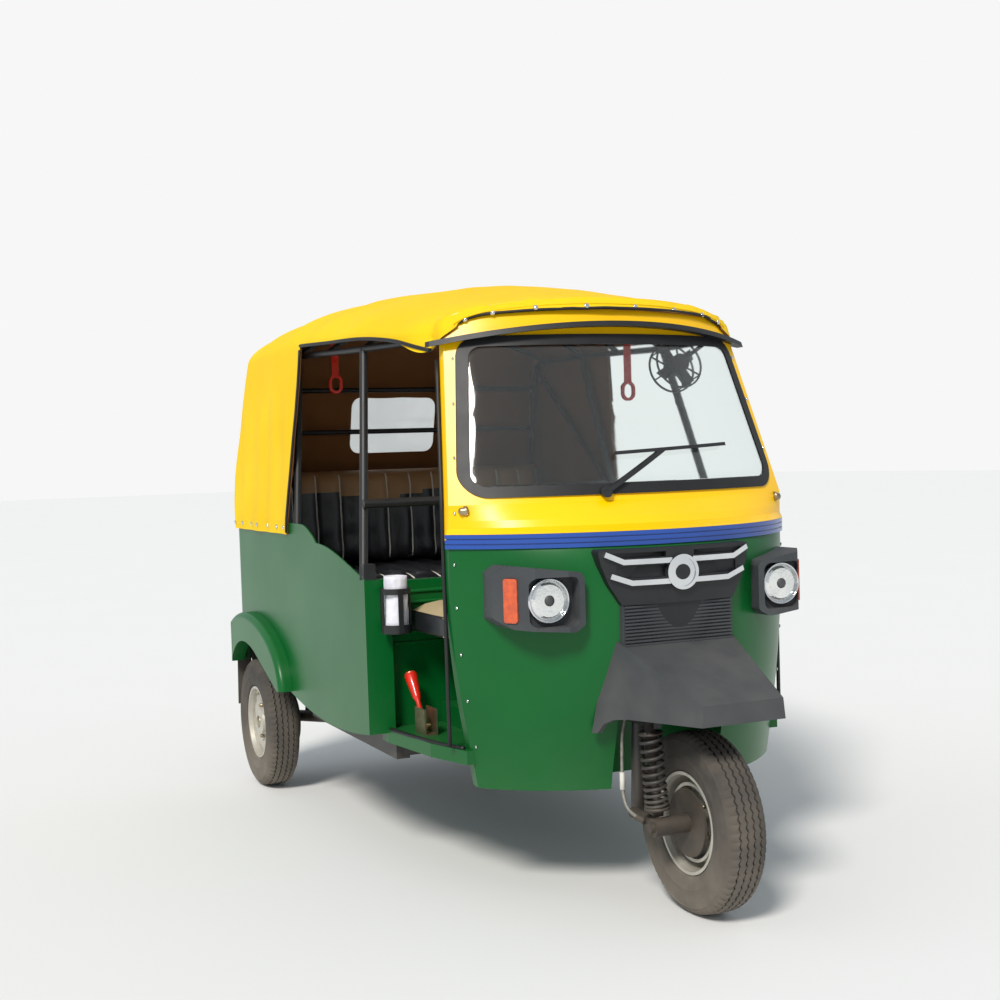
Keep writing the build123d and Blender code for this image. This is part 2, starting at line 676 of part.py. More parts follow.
# Hood frame: tube radius, bend radius, points
mid_foot, mid_top = (-594, -228, 812), (-500, -22, 1466)
rear_foot, rear_top = (-583, 455, 940), (-522, 579, 1490)
HOOD_TUBES = [
    (12, 0, [mid_foot, mid_top]),
    (12, 0, [rear_foot, rear_top]),
    (10, 90, [(-416, -470, 1452), (-452, -330, 1462), (-500, -22, 1466), (-522, 579, 1490),
              (-530, 975, 1490), (-566, 1150, 950)]),
    (9, 0, [(-532, 980, 1478), (-572, 470, 1010)]),
]
BOWS = [(-22, 500, 1466, 1626), (290, 512, 1478, 1655), (579, 522, 1490, 1660), (880, 528, 1490, 1618)]
CROSS_BARS = [(13, -572, -182, 1020), (9, -548, 1066, 1250), (9, -540, 1013, 1400)]
with BuildPart() as hood_frame:
    for radius, bend, points in HOOD_TUBES:
        with BuildLine() as run:
            if bend:
                FilletPolyline(*points, radius=bend)
            else:
                Line(*points)
        with BuildSketch(Plane(run.line @ 0, z_dir=run.line % 0)):
            Circle(radius)
        sweep(path=run.line)
    with Locations((-582, -232, 832)):
        Box(34, 30, 44)
    mirror(about=Plane.YZ)
    for radius, x, y, z in CROSS_BARS:
        with BuildSketch(Plane.YZ.offset(x)):
            with Locations((y, z)):
                Circle(radius)
        extrude(amount=-2 * x)
    add(tub_side_right.part, mode=Mode.SUBTRACT)
    add(tub_side_left.part, mode=Mode.SUBTRACT)
    add(cowl_upper.part, mode=Mode.SUBTRACT)
hood_frame.part.label = "hood_frame"
export_step(hood_frame.part, "parts/hood_frame.step")

with BuildPart() as hood_bows:
    for y, half, foot_z, top_z in BOWS:
        with BuildLine() as bow:
            ThreePointArc((-half, y, foot_z), (0, y, top_z), (half, y, foot_z))
        with BuildSketch(Plane(bow.line @ 0, z_dir=bow.line % 0)):
            Circle(9)
        sweep(path=bow.line)
    add(hood_frame.part, mode=Mode.SUBTRACT)
hood_bows.part.label = "hood_bows"
export_step(hood_bows.part, "parts/hood_bows.step")

# Hand straps: x, y, z where the webbing meets its tube, z of the handle's middle
HAND_STRAPS = [(-399.0, 579.0, 1562.0, 1398.0), (372.0, -22.0, 1541.0, 1334.0)]
with BuildPart() as hand_straps:
    for x, y, z_top, z_ring in HAND_STRAPS:
        with Locations((x, y, (z_top + z_ring) / 2 + 14)):
            Box(24, 5, z_top - z_ring - 28)
        with BuildSketch(Plane.XZ.offset(-y - 5)):
            with Locations((x, z_ring)):
                SlotOverall(62, 46, rotation=90)
                SlotOverall(44, 28, rotation=90, mode=Mode.SUBTRACT)
        extrude(amount=10)
    add(hood_bows.part, mode=Mode.SUBTRACT)
hand_straps.part.label = "hand_straps"
export_step(hand_straps.part, "parts/hand_straps.step")

# Cab fan, built about its own axis with the motor behind the blades
fan_place = Location((325, -395, 1388), (75, 0, -150))
with BuildPart() as fan_shape:
    Cylinder(26, 60)
    for z in (-30, 14):
        with BuildSketch(Plane.XY.offset(z)):
            Circle(74)
            Circle(69, mode=Mode.SUBTRACT)
            with PolarLocations(0, 3):
                Rectangle(142, 4)
        extrude(amount=4)
    for turn in range(4):
        with Locations(Location((0, 0, 0), (0, 0, turn * 90)) * Location((44, 0, 0), (28, 0, 0))):
            Box(44, 34, 2.5)
    with PolarLocations(71.5, 6):
        Cylinder(2, 46)
with BuildPart() as cab_fan:
    add(fan_shape.part.moved(fan_place))
    with BuildLine() as arm:
        Line((325, -395, 1388), (437, -388, 1459))
    with BuildSketch(Plane(arm.line @ 0, z_dir=arm.line % 0)):
        Circle(6)
    sweep(path=arm.line)
    add(hood_frame.part, mode=Mode.SUBTRACT)
cab_fan.part.label = "cab_fan"
export_step(cab_fan.part, "parts/cab_fan.step")

with BuildPart() as seat_trim:
    add(driver_seat.part)
    add(hood_frame.part, mode=Mode.SUBTRACT)
seat_trim.part.label = "driver_seat"
export_step(seat_trim.part, "parts/driver_seat.step")

# Canopy and its rear window
with BuildPart() as canopy:
    add(canopy_skin.part)
    add(canopy_hollow.part, mode=Mode.SUBTRACT)
    with Locations((0, 300, canopy_foot_z - 60)):
        Box(1400, 2200, 120, mode=Mode.SUBTRACT)
    with BuildSketch(Plane.YZ.offset(-700)):
        with BuildLine():
            Spline((440, 1511), (200, 1500), (-80, 1488), (-300, 1462), (-490, 1419), (-575, 1442),
                   (-680, 1490))
            Polyline((-680, 1490), (-680, 840), (500, 840), (498, 912), (440, 1511))
        make_face()
    extrude(amount=1400, mode=Mode.SUBTRACT)
    with BuildSketch(Plane.XZ.offset(-1300)):
        with Locations((0, 1274)):
            RectangleRounded(334, 204, 36)
    extrude(amount=350, mode=Mode.SUBTRACT)
    add(visor.part, mode=Mode.SUBTRACT)
canopy.part.label = "canopy"
export_step(canopy.part, "parts/canopy.step")

with BuildPart() as rear_window:
    add(canopy_skin.part)
    add(canopy_hollow.part, mode=Mode.SUBTRACT)
    with BuildSketch(Plane.XZ.offset(-1300)):
        with Locations((0, 1274)):
            RectangleRounded(334 - 2 * fit, 204 - 2 * fit, 36 - fit)
    extrude(amount=350, mode=Mode.INTERSECT)
rear_window.part.label = "rear_window"
export_step(rear_window.part, "parts/rear_window.step")

# Controls and cab fittings
with BuildPart() as dashboard:
    loft([nose_face(*row, -sheet - 0.5, jamb) for row in COWL])
    with Locations((0, -760, 905)):
        Box(1000, 170, 30, mode=Mode.INTERSECT)
    with BuildSketch(Plane.XY.offset(860)):
        with Locations((0, axis_y(905))):
            Circle(52)
    extrude(amount=100, mode=Mode.SUBTRACT)
dashboard.part.label = "dashboard"
export_step(dashboard.part, "parts/dashboard.step")

with BuildPart() as handbrake:
    with Locations((-475, -365, floor_z + 36)):
        Box(38, 74, 72)
    with Locations((-475, -365, floor_z + 40)):
        Box(28, 80, 70, mode=Mode.SUBTRACT)
    with BuildSketch(Plane.YZ.offset(-493)):
        with Locations((-359, floor_z + 22)):
            Circle(5)
    extrude(amount=36)
    with BuildSketch(Plane((-475, -362, floor_z + 10), z_dir=(0, 0.62, 0.785))):
        Circle(5)
    extrude(amount=150)
    with BuildSketch(Plane((-475, -362, floor_z + 10), z_dir=(0, 0.62, 0.785)).offset(105)):
        Circle(10)
    extrude(amount=72, taper=-6)
handbrake.part.label = "handbrake"
export_step(handbrake.part, "parts/handbrake.step")

with BuildPart() as bottle_holder:
    for z, tall in ((664, 24), (772, 16)):
        with BuildSketch(Plane.XY.offset(z)):
            with Locations((-524, -290)):
                Circle(41)
                Circle(37, mode=Mode.SUBTRACT)
        extrude(amount=tall)
    with BuildSketch(Plane.XY.offset(664)):
        with Locations((-524, -290)):
            Circle(41)
    extrude(amount=4)
    for dx, dy in ((-39, 0), (39, 0), (0, -39), (0, 39)):
        with Locations((-524 + dx, -290 + dy, 726)):
            Box(14 if dx == 0 else 4, 14 if dy == 0 else 4, 120)
    with Locations((-535, -250, 726)):
        Box(40, 3.4, 120)
bottle_holder.part.label = "bottle_holder"
export_step(bottle_holder.part, "parts/bottle_holder.step")

with BuildPart() as holder_liner:
    with BuildSketch(Plane.XY.offset(668.3)):
        with Locations((-524, -290)):
            Circle(35)
            Circle(33, mode=Mode.SUBTRACT)
    extrude(amount=140)
    with BuildSketch(Plane.XY.offset(668.3)):
        with Locations((-524, -290)):
            Circle(35)
    extrude(amount=2)
holder_liner.part.label = "holder_liner"
export_step(holder_liner.part, "parts/holder_liner.step")

with BuildPart() as tail_lamps:
    for x in (-455, 455):
        with BuildSketch(Plane.XZ.offset(-tub_back_y)):
            with Locations((x, 735)):
                RectangleRounded(88, 130, 12)
        extrude(amount=-7)
tail_lamps.part.label = "tail_lamps"
export_step(tail_lamps.part, "parts/tail_lamps.step")

with BuildPart() as mud_flaps:
    for x in (-612, 505):
        with BuildSketch(Plane.YZ.offset(x)):
            Polygon((1218, 460), (1222, 460), (1238, 258), (1234, 258), align=None)
        extrude(amount=107)
    for x in (-514, 514):
        with Locations((x, 1225, 442)):
            Box(18, 5.8, 18)
    add(tub_skin.part, mode=Mode.SUBTRACT)
    add(fenders.part, mode=Mode.SUBTRACT)
mud_flaps.part.label = "mud_flaps"
export_step(mud_flaps.part, "parts/mud_flaps.step")

# Engine, exhaust and rear suspension
with BuildPart() as engine_block:
    with Locations((0, 820, 350)):
        Box(330, 420, 230)
    for y in (596.2, 1043.8):
        with Locations((0, y, 335)):
            Box(110, 28, 34)
engine_block.part.label = "engine_block"
export_step(engine_block.part, "parts/engine_block.step")

with BuildPart() as exhaust:
    with BuildSketch(Plane.YZ.offset(-80)):
        with Locations((1158, 318)):
            Circle(52)
    extrude(amount=300)
    with BuildLine() as pipe:
        FilletPolyline((130, 1030.5, 270), (130, 1070, 270), (190, 1120, 290), (190, 1150, 310), radius=18)
    with BuildSketch(Plane(pipe.line @ 0, z_dir=pipe.line % 0)):
        Circle(15)
    sweep(path=pipe.line)
    with Locations((60, 1104, 322)):
        Box(40, 4, 30)
exhaust.part.label = "exhaust"
export_step(exhaust.part, "parts/exhaust.step")

with BuildPart() as rear_axle:
    for points, radius in (([(-420, 600, 284), (-446, 1000, 232)], 20), ([(-165.5, 1000, 262), (-446, 1000, 232)], 13),
                           ([(-415, 960, 250), (-415, 900, 500)], 22)):
        with BuildLine() as run:
            Line(*points)
        with BuildSketch(Plane(run.line @ 0, z_dir=run.line % 0)):
            Circle(radius)
        sweep(path=run.line)
    with BuildSketch(Plane.YZ.offset(-548)):
        with Locations((rear_y, tyre_r)):
            Circle(14)
    extrude(amount=106)
    with BuildSketch(Plane.YZ.offset(-478)):
        with Locations((rear_y, tyre_r)):
            Circle(92)
    extrude(amount=8)
    mirror(about=Plane.YZ)
    add(frame_rails.part, mode=Mode.SUBTRACT)
    add(engine_block.part, mode=Mode.SUBTRACT)
rear_axle.part.label = "rear_axle"
export_step(rear_axle.part, "parts/rear_axle.step")

# Steering and front suspension; the brake hose hangs behind the fork leg between two unions
HOSE = [(-124.0, -864.0, 494.0), (-140.0, -865.5, 450.0), (-144.0, -867.0, 368.0), (-146.0, -870.0, 300.0),
        (-146.5, -880.0, 266.0), (-143.5, -899.0, 244.0), (-136.0, -926.0, 236.0)]
hose_r = 4.5
hose_radii = []
for before, corner, after in zip(HOSE, HOSE[1:], HOSE[2:]):
    run_in, run_out = Vector(corner) - Vector(before), Vector(after) - Vector(corner)
    half_turn = math.radians(run_in.get_angle(run_out)) / 2
    hose_radii.append(0.45 * min(run_in.length, run_out.length) / math.tan(half_turn))
print("brake hose bend radii, mm:", [round(r) for r in hose_radii])
with BuildPart() as brake_hose:
    with BuildLine() as route:
        FilletPolyline(*HOSE, radius=hose_radii)
    with BuildSketch(Plane(route.line @ 0, z_dir=route.line % 0)):
        Circle(hose_r)
    sweep(path=route.line)
brake_hose.part.label = "brake_hose"
export_step(brake_hose.part, "parts/brake_hose.step")

with BuildPart() as steering_column:
    with BuildSketch(Plane((0, axis_y(575), 575), z_dir=(0, 0.309, 0.951))):
        Circle(22)
    extrude(amount=410)
    with BuildLine() as leg:
        FilletPolyline((0, axis_y(580), 580), (-40, -872, 540), (-98, -876, 470), (-100, -862, 236), radius=30)
    with BuildSketch(Plane(leg.line @ 0, z_dir=leg.line % 0)):
        Circle(17)
    sweep(path=leg.line)
    with BuildLine() as stem:
        Line((0, axis_y(955), 955), (0, -640, 975))
    with BuildSketch(Plane(stem.line @ 0, z_dir=stem.line % 0)):
        Circle(15)
    sweep(path=stem.line)
    with BuildLine() as bar:
        FilletPolyline((-250, -478, 992), (-165, -640, 975), (165, -640, 975), (250, -478, 992), radius=45)
    with BuildSketch(Plane(bar.line @ 0, z_dir=bar.line % 0)):
        Circle(11)
    sweep(path=bar.line)
    with Locations((-117, -940, 478)):
        Box(22, 130, 20)
    with Locations((-98, -865, 507)):
        Box(52, 18, 16)
    with BuildSketch(Plane(HOSE[0], z_dir=Vector(HOSE[0]) - Vector(HOSE[1]))):
        Circle(8)
    extrude(amount=16)
steering_column.part.label = "steering_column"
export_step(steering_column.part, "parts/steering_column.step")

with BuildPart() as handlebar_grips:
    for side in (-1, 1):
        with BuildLine() as run:
            Line((side * 250.5, -477, 992.1), (side * 198, -577, 981.6))
        with BuildSketch(Plane(run.line @ 0, z_dir=run.line % 0)):
            Circle(16)
        sweep(path=run.line)
    add(steering_column.part, mode=Mode.SUBTRACT)
handlebar_grips.part.label = "handlebar_grips"
export_step(handlebar_grips.part, "parts/handlebar_grips.step")

with BuildPart() as front_link:
    for points, radius in (([(-112, -862, 232), (-112, -1000, 225)], 15),):
        with BuildLine() as run:
            Line(*points)
        with BuildSketch(Plane(run.line @ 0, z_dir=run.line % 0)):
            Circle(radius)
        sweep(path=run.line)
    with BuildSketch(Plane.YZ.offset(-146)):
        with Locations((front_y, tyre_r)):
            Circle(12)
    extrude(amount=184)
    with BuildSketch(Plane.YZ.offset(-136)):
        with Locations((front_y, tyre_r)):
            Circle(23)
    extrude(amount=104)
    with BuildSketch(Plane.YZ.offset(-40)):
        with Locations((front_y, tyre_r)):
            Circle(84)
    extrude(amount=7)
    with BuildSketch(Plane(HOSE[-1], z_dir=Vector(HOSE[-1]) - Vector(HOSE[-2]))):
        Circle(8)
    extrude(amount=26)
    with Locations((-122, -946, 236)):
        Box(20, 12, 14)
    add(steering_column.part, mode=Mode.SUBTRACT)
front_link.part.label = "front_link"
export_step(front_link.part, "parts/front_link.step")

SHOCK_TOP, SHOCK_FOOT = (-130, -985, 488), (-112, -985, 250)
with BuildPart() as front_shock:
    with BuildLine() as run:
        Line(SHOCK_TOP, SHOCK_FOOT)
    with BuildSketch(Plane(run.line @ 0, z_dir=run.line % 0)):
        Circle(14)
    sweep(path=run.line)
    for t in (0.1, 0.93):
        with BuildSketch(Plane(run.line @ t, z_dir=run.line % 0)):
            Circle(33)
        extrude(amount=6)
    turns = 13
    for turn in range(turns):
        with Locations(Plane(run.line @ (0.16 + 0.7 * (turn / (turns - 1)) ** 0.8), z_dir=run.line % 0)):
            Cylinder(31, 6)
    with Locations(Plane(run.line @ 0.9, z_dir=run.line % 0)):
        Cylinder(24, 24)
    add(steering_column.part, mode=Mode.SUBTRACT)
    add(front_link.part, mode=Mode.SUBTRACT)
front_shock.part.label = "front_shock"
export_step(front_shock.part, "parts/front_shock.step")

# Wheels, made at the origin about X and set in place
TYRE = [(-tyre_w / 2, bead_r), (-tyre_w / 2, 205), (-40, tyre_r), (40, tyre_r), (tyre_w / 2, 205),
        (tyre_w / 2, bead_r)]
WHEEL_RING = [(-44, bead_r - 0.4), (-44, bead_r - 8), (-30, bead_r - 12), (30, bead_r - 12),
              (44, bead_r - 8), (44, bead_r - 0.4)]


def turned(profile):
    """Ring profile in the XY plane, radius along Y, turned about X."""
    with BuildSketch(mode=Mode.PRIVATE) as outline:
        Polygon(*profile, align=None)
    return outline.sketch.faces()[0]


with BuildPart() as front_rim:
    revolve(turned(WHEEL_RING), axis=Axis.X)
    revolve(turned([(24, 116), (18, 116), (12, 92), (12, 12.3), (36, 12.3), (36, 30), (22, 34), (18, 90)]),
            axis=Axis.X)
    revolve(turned([(-26, 98), (-26, 90), (14, 90), (14, 98)]), axis=Axis.X)
front_rim_set = front_rim.part.moved(Location((0, front_y, tyre_r)))
front_rim_set.label = "front_rim"
export_step(front_rim_set, "parts/front_rim.step")

REAR_DISC = [(-16, 116), (-22, 116), (-26, 92), (-14, 76), (-18, 48), (-34, 44), (-38, 24), (-38, 0),
             (-32, 0), (-32, 20), (-28, 38), (-12, 42), (-8, 78), (-20, 94)]
with BuildPart() as rear_rim:
    revolve(turned(WHEEL_RING), axis=Axis.X)
    revolve(turned(REAR_DISC), axis=Axis.X)
    with BuildSketch(Plane.YZ.offset(-60)):
        with PolarLocations(100, 10):
            SlotOverall(26, 9, rotation=90)
    extrude(amount=80, mode=Mode.SUBTRACT)
    revolve(turned([(-15, 58), (-15, 14.3), (40, 14.3), (40, 30), (0, 34), (0, 88), (58, 88), (58, 96),
                    (-11, 96), (-11, 58)]), axis=Axis.X)
for name, x, turn in (("rear_rim_right", -rear_wheel_x, 0), ("rear_rim_left", rear_wheel_x, 180)):
    placed = rear_rim.part.moved(Location((x, rear_y, tyre_r), (0, 0, turn)))
    placed.label = name
    export_step(placed, f"parts/{name}.step")

with BuildPart() as tyre:
    revolve(turned(TYRE), axis=Axis.X)
for name, x, y in (("front_tyre", 0, front_y), ("rear_tyre_right", -rear_wheel_x, rear_y),
                   ("rear_tyre_left", rear_wheel_x, rear_y)):
    placed = tyre.part.moved(Location((x, y, tyre_r)))
    placed.label = name
    export_step(placed, f"parts/{name}.step")
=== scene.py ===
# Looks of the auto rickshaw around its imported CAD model. Metres; forward is -Y, up is +Z.
import json
import math

import bmesh
import bpy
import numpy as np
from mathutils import Matrix, Vector, noise
from mathutils.bvhtree import BVHTree


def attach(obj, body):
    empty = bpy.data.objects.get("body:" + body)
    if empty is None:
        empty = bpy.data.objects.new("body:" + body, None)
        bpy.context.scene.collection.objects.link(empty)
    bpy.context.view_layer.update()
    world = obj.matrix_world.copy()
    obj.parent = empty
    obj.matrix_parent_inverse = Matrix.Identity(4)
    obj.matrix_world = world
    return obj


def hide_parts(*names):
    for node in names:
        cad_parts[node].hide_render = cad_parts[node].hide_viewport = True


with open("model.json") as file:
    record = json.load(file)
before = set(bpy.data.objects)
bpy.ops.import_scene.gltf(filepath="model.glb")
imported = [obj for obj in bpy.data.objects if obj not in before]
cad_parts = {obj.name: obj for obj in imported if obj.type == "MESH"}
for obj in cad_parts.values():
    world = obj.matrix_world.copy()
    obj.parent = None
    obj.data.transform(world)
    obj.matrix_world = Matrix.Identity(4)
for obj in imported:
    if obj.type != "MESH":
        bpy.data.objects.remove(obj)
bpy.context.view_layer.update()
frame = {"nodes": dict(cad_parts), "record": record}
nodes = frame["nodes"]


# Shared shader effects
def shader_group(name, inputs, outputs):
    """An empty node group with named sockets, and its input and output nodes."""
    group = bpy.data.node_groups.new(name, "ShaderNodeTree")
    for label, kind, value in inputs:
        socket = group.interface.new_socket(name=label, in_out="INPUT", socket_type=kind)
        if value is not None:
            socket.default_value = value
    for label, kind in outputs:
        group.interface.new_socket(name=label, in_out="OUTPUT", socket_type=kind)
    return group, group.nodes.new("NodeGroupInput"), group.nodes.new("NodeGroupOutput")


def maths(tree, operation, a, b=None, clamp=False):
    """A Math node; a and b are sockets or numbers."""
    node = tree.nodes.new("ShaderNodeMath")
    node.operation = operation
    node.use_clamp = clamp
    for i, value in enumerate((a, b)):
        if value is None:
            continue
        if isinstance(value, (int, float)):
            node.inputs[i].default_value = value
        else:
            tree.links.new(value, node.inputs[i])
    return node.outputs[0]


def blend_colour(tree, factor, a, b):
    """A colour mix; each argument is a socket or a value."""
    node = tree.nodes.new("ShaderNodeMix")
    node.data_type = "RGBA"
    for socket, value in ((node.inputs[0], factor), (node.inputs[6], a), (node.inputs[7], b)):
        if isinstance(value, bpy.types.NodeSocket):
            tree.links.new(value, socket)
        else:
            socket.default_value = value
    return node.outputs[2]


def noise_value(tree, vector, scale, detail=4.0):
    """Soft noise at a point; scale is a socket or a number."""
    node = tree.nodes.new("ShaderNodeTexNoise")
    node.inputs["Detail"].default_value = detail
    if isinstance(scale, (int, float)):
        node.inputs["Scale"].default_value = scale
    else:
        tree.links.new(scale, node.inputs["Scale"])
    tree.links.new(vector, node.inputs["Vector"])
    return node.outputs["Fac"]


def make_mottle():
    """Patchy colour: the base drifts towards the shade colour in soft clouds."""
    group, given, out = shader_group(
        "patchy colour",
        [("Vector", "NodeSocketVector", None), ("Base", "NodeSocketColor", (1, 1, 1, 1)),
         ("Shade", "NodeSocketColor", (0, 0, 0, 1)), ("Scale", "NodeSocketFloat", 6.0),
         ("Amount", "NodeSocketFloat", 0.3)],
        [("Color", "NodeSocketColor"), ("Mask", "NodeSocketFloat")])
    cloud = noise_value(group, given.outputs["Vector"], given.outputs["Scale"], 5.0)
    spread = group.nodes.new("ShaderNodeMapRange")
    spread.inputs["From Min"].default_value = 0.35
    spread.inputs["From Max"].default_value = 0.7
    group.links.new(cloud, spread.inputs["Value"])
    mask = maths(group, "MULTIPLY", spread.outputs[0], given.outputs["Amount"], True)
    group.links.new(blend_colour(group, mask, given.outputs["Base"], given.outputs["Shade"]),
                    out.inputs["Color"])
    group.links.new(spread.outputs[0], out.inputs["Mask"])
    return group


def make_dust():
    """Road dust that thickens towards the ground and on faces that look up."""
    group, given, out = shader_group(
        "road dust",
        [("Vector", "NodeSocketVector", None), ("Color", "NodeSocketColor", (1, 1, 1, 1)),
         ("Rough", "NodeSocketFloat", 0.4), ("Top", "NodeSocketFloat", 0.7),
         ("Amount", "NodeSocketFloat", 0.3)],
        [("Color", "NodeSocketColor"), ("Rough", "NodeSocketFloat")])
    parts = group.nodes.new("ShaderNodeSeparateXYZ")
    group.links.new(given.outputs["Vector"], parts.inputs[0])
    low = maths(group, "DIVIDE", maths(group, "SUBTRACT", given.outputs["Top"], parts.outputs["Z"]),
                given.outputs["Top"], True)
    face = group.nodes.new("ShaderNodeNewGeometry")
    facing = group.nodes.new("ShaderNodeSeparateXYZ")
    group.links.new(face.outputs["Normal"], facing.inputs[0])
    upward = maths(group, "MULTIPLY", maths(group, "MAXIMUM", facing.outputs["Z"], 0.0), 0.22)
    patch = noise_value(group, given.outputs["Vector"], 9.0, 6.0)
    mask = maths(group, "MULTIPLY", maths(group, "ADD", maths(group, "POWER", low, 1.4), upward),
                 maths(group, "MULTIPLY", patch, given.outputs["Amount"]), True)
    group.links.new(blend_colour(group, mask, given.outputs["Color"], (0.36, 0.31, 0.25, 1)),
                    out.inputs["Color"])
    duller = maths(group, "MULTIPLY", mask, 0.5)
    group.links.new(maths(group, "ADD", given.outputs["Rough"], duller, True), out.inputs["Rough"])
    return group


def make_grain():
    """Moulded or sprayed grain as a height between 0 and 1."""
    group, given, out = shader_group(
        "surface grain", [("Vector", "NodeSocketVector", None), ("Scale", "NodeSocketFloat", 400.0)],
        [("Height", "NodeSocketFloat")])
    cells = group.nodes.new("ShaderNodeTexVoronoi")
    group.links.new(given.outputs["Vector"], cells.inputs["Vector"])
    group.links.new(given.outputs["Scale"], cells.inputs["Scale"])
    fine = noise_value(group, given.outputs["Vector"], given.outputs["Scale"], 3.0)
    group.links.new(maths(group, "ADD", maths(group, "MULTIPLY", cells.outputs["Distance"], 0.5),
                          maths(group, "MULTIPLY", fine, 0.5)), out.inputs["Height"])
    return group


def make_weave():
    """Plain woven threads, as a height, from two crossed bands that follow the cloth."""
    group, given, out = shader_group(
        "woven threads", [("Vector", "NodeSocketVector", None), ("Threads", "NodeSocketFloat", 260.0)],
        [("Height", "NodeSocketFloat")])
    bands = []
    for direction in ("Y", "DIAGONAL"):
        wave = group.nodes.new("ShaderNodeTexWave")
        wave.bands_direction = direction
        wave.inputs["Distortion"].default_value = 0.6
        group.links.new(given.outputs["Vector"], wave.inputs["Vector"])
        group.links.new(given.outputs["Threads"], wave.inputs["Scale"])
        bands.append(wave.outputs["Fac"])
    group.links.new(maths(group, "MULTIPLY", bands[0], bands[1]), out.inputs["Height"])
    return group


MOTTLE, DUST, GRAIN, WEAVE = make_mottle(), make_dust(), make_grain(), make_weave()


def srgb(r, g, b):
    """A colour given as 0 to 255 on screen, as the shader wants it."""
    return tuple((c / 255 / 12.92) if c / 255 <= 0.04045 else ((c / 255 + 0.055) / 1.055) ** 2.4
                 for c in (r, g, b)) + (1.0,)


def finish_material(name, base, shade, rough, patch=(6.0, 0.3), grain=(400.0, 0.0002), threads=0.0,
                    dust=0.0, dust_top=0.75, metallic=0.0, coat=0.0, sheen=0.0, clear=0.0, specular=0.5):
    """One finish from the shared effects. patch is clouds per metre and amount; grain is its scale
    and depth in metres; threads is the weave's scale, or 0; clear is the transmission weight."""
    material = bpy.data.materials.new(name)
    material.use_nodes = True
    tree = material.node_tree
    shader = tree.nodes["Principled BSDF"]
    place = tree.nodes.new("ShaderNodeTexCoord").outputs["Object"]

    def effect(group, **values):
        node = tree.nodes.new("ShaderNodeGroup")
        node.node_tree = group
        tree.links.new(place, node.inputs["Vector"])
        for label, value in values.items():
            socket = node.inputs[label.replace("_", " ")]
            if isinstance(value, bpy.types.NodeSocket):
                tree.links.new(value, socket)
            else:
                socket.default_value = value
        return node.outputs

    colours = effect(MOTTLE, Base=base, Shade=shade, Scale=patch[0], Amount=patch[1])
    roughness = maths(tree, "ADD", rough, maths(tree, "MULTIPLY", colours["Mask"], 0.12 * patch[1]))
    colour = colours["Color"]
    if dust:
        dusty = effect(DUST, Color=colour, Rough=roughness, Top=dust_top, Amount=dust)
        colour, roughness = dusty["Color"], dusty["Rough"]
    tree.links.new(colour, shader.inputs["Base Color"])
    tree.links.new(roughness, shader.inputs["Roughness"])
    relief = effect(WEAVE, Threads=threads) if threads else effect(GRAIN, Scale=grain[0])
    height = relief["Height"]
    bump = tree.nodes.new("ShaderNodeBump")
    bump.inputs["Distance"].default_value = grain[1]
    bump.inputs["Strength"].default_value = 1.0
    tree.links.new(height, bump.inputs["Height"])
    tree.links.new(bump.outputs["Normal"], shader.inputs["Normal"])
    shader.inputs["Metallic"].default_value = metallic
    shader.inputs["Coat Weight"].default_value = coat
    shader.inputs["Coat Roughness"].default_value = 0.04
    shader.inputs["Sheen Weight"].default_value = sheen
    shader.inputs["Transmission Weight"].default_value = clear
    shader.inputs["Specular IOR Level"].default_value = specular
    return material


green_paint = finish_material("green enamel", srgb(0, 92, 36), srgb(0, 74, 28), 0.30, (3.0, 0.35),
                              (900.0, 0.00003), dust=0.2, dust_top=0.5, specular=0.30)
yellow_paint = finish_material("yellow enamel", srgb(255, 200, 0), srgb(250, 184, 0), 0.30, (3.0, 0.3),
                               (900.0, 0.00003), specular=0.35)
blue_trim = finish_material("blue moulding", srgb(18, 72, 160), srgb(12, 52, 128), 0.3, coat=0.3)
black_tube = finish_material("black tube enamel", srgb(22, 23, 25), srgb(36, 36, 38), 0.42, (14.0, 0.5),
                             (700.0, 0.0001), dust=0.5, dust_top=0.6)
black_plastic = finish_material("black plastic", srgb(24, 25, 27), srgb(38, 39, 41), 0.46, (20.0, 0.4),
                                (1200.0, 0.0002))
grey_plastic = finish_material("dark textured plastic", srgb(52, 56, 60), srgb(68, 71, 74), 0.58,
                               (9.0, 0.5), (1400.0, 0.00035), dust=0.35, dust_top=0.9)
seal_rubber = finish_material("seal rubber", srgb(16, 16, 18), srgb(30, 30, 32), 0.5, (18.0, 0.4),
                              (900.0, 0.0001))
tyre_rubber = finish_material("tyre rubber", srgb(52, 49, 46), srgb(82, 76, 69), 0.82, (16.0, 0.7),
                              (600.0, 0.0003), dust=0.8, dust_top=0.42)
screen_glass = finish_material("screen glass", (0.86, 0.93, 0.91, 1), (0.8, 0.88, 0.86, 1), 0.02,
                               (2.0, 0.4), (60.0, 0.000005), clear=1.0)
lamp_glass = finish_material("lamp glass", srgb(232, 234, 232), srgb(196, 200, 200), 0.10, (30.0, 0.5),
                             (150.0, 0.0006), metallic=0.85, coat=1.0)
amber_lens = finish_material("amber lens", srgb(214, 84, 22), srgb(170, 60, 24), 0.16, (70.0, 0.8),
                             (300.0, 0.0008), coat=1.0)
red_lens = finish_material("red lens", srgb(150, 14, 12), srgb(110, 8, 8), 0.14, (70.0, 0.8), (300.0, 0.0008),
                           coat=1.0)
bright_chrome = finish_material("bright chrome", srgb(222, 224, 226), srgb(190, 194, 198), 0.08, (12.0, 0.5),
                                (500.0, 0.00003), metallic=1.0)
wheel_steel = finish_material("painted wheel steel", srgb(196, 194, 184), srgb(160, 155, 142), 0.36,
                              (24.0, 0.5), (500.0, 0.0001), metallic=0.35, dust=0.7, dust_top=0.45)
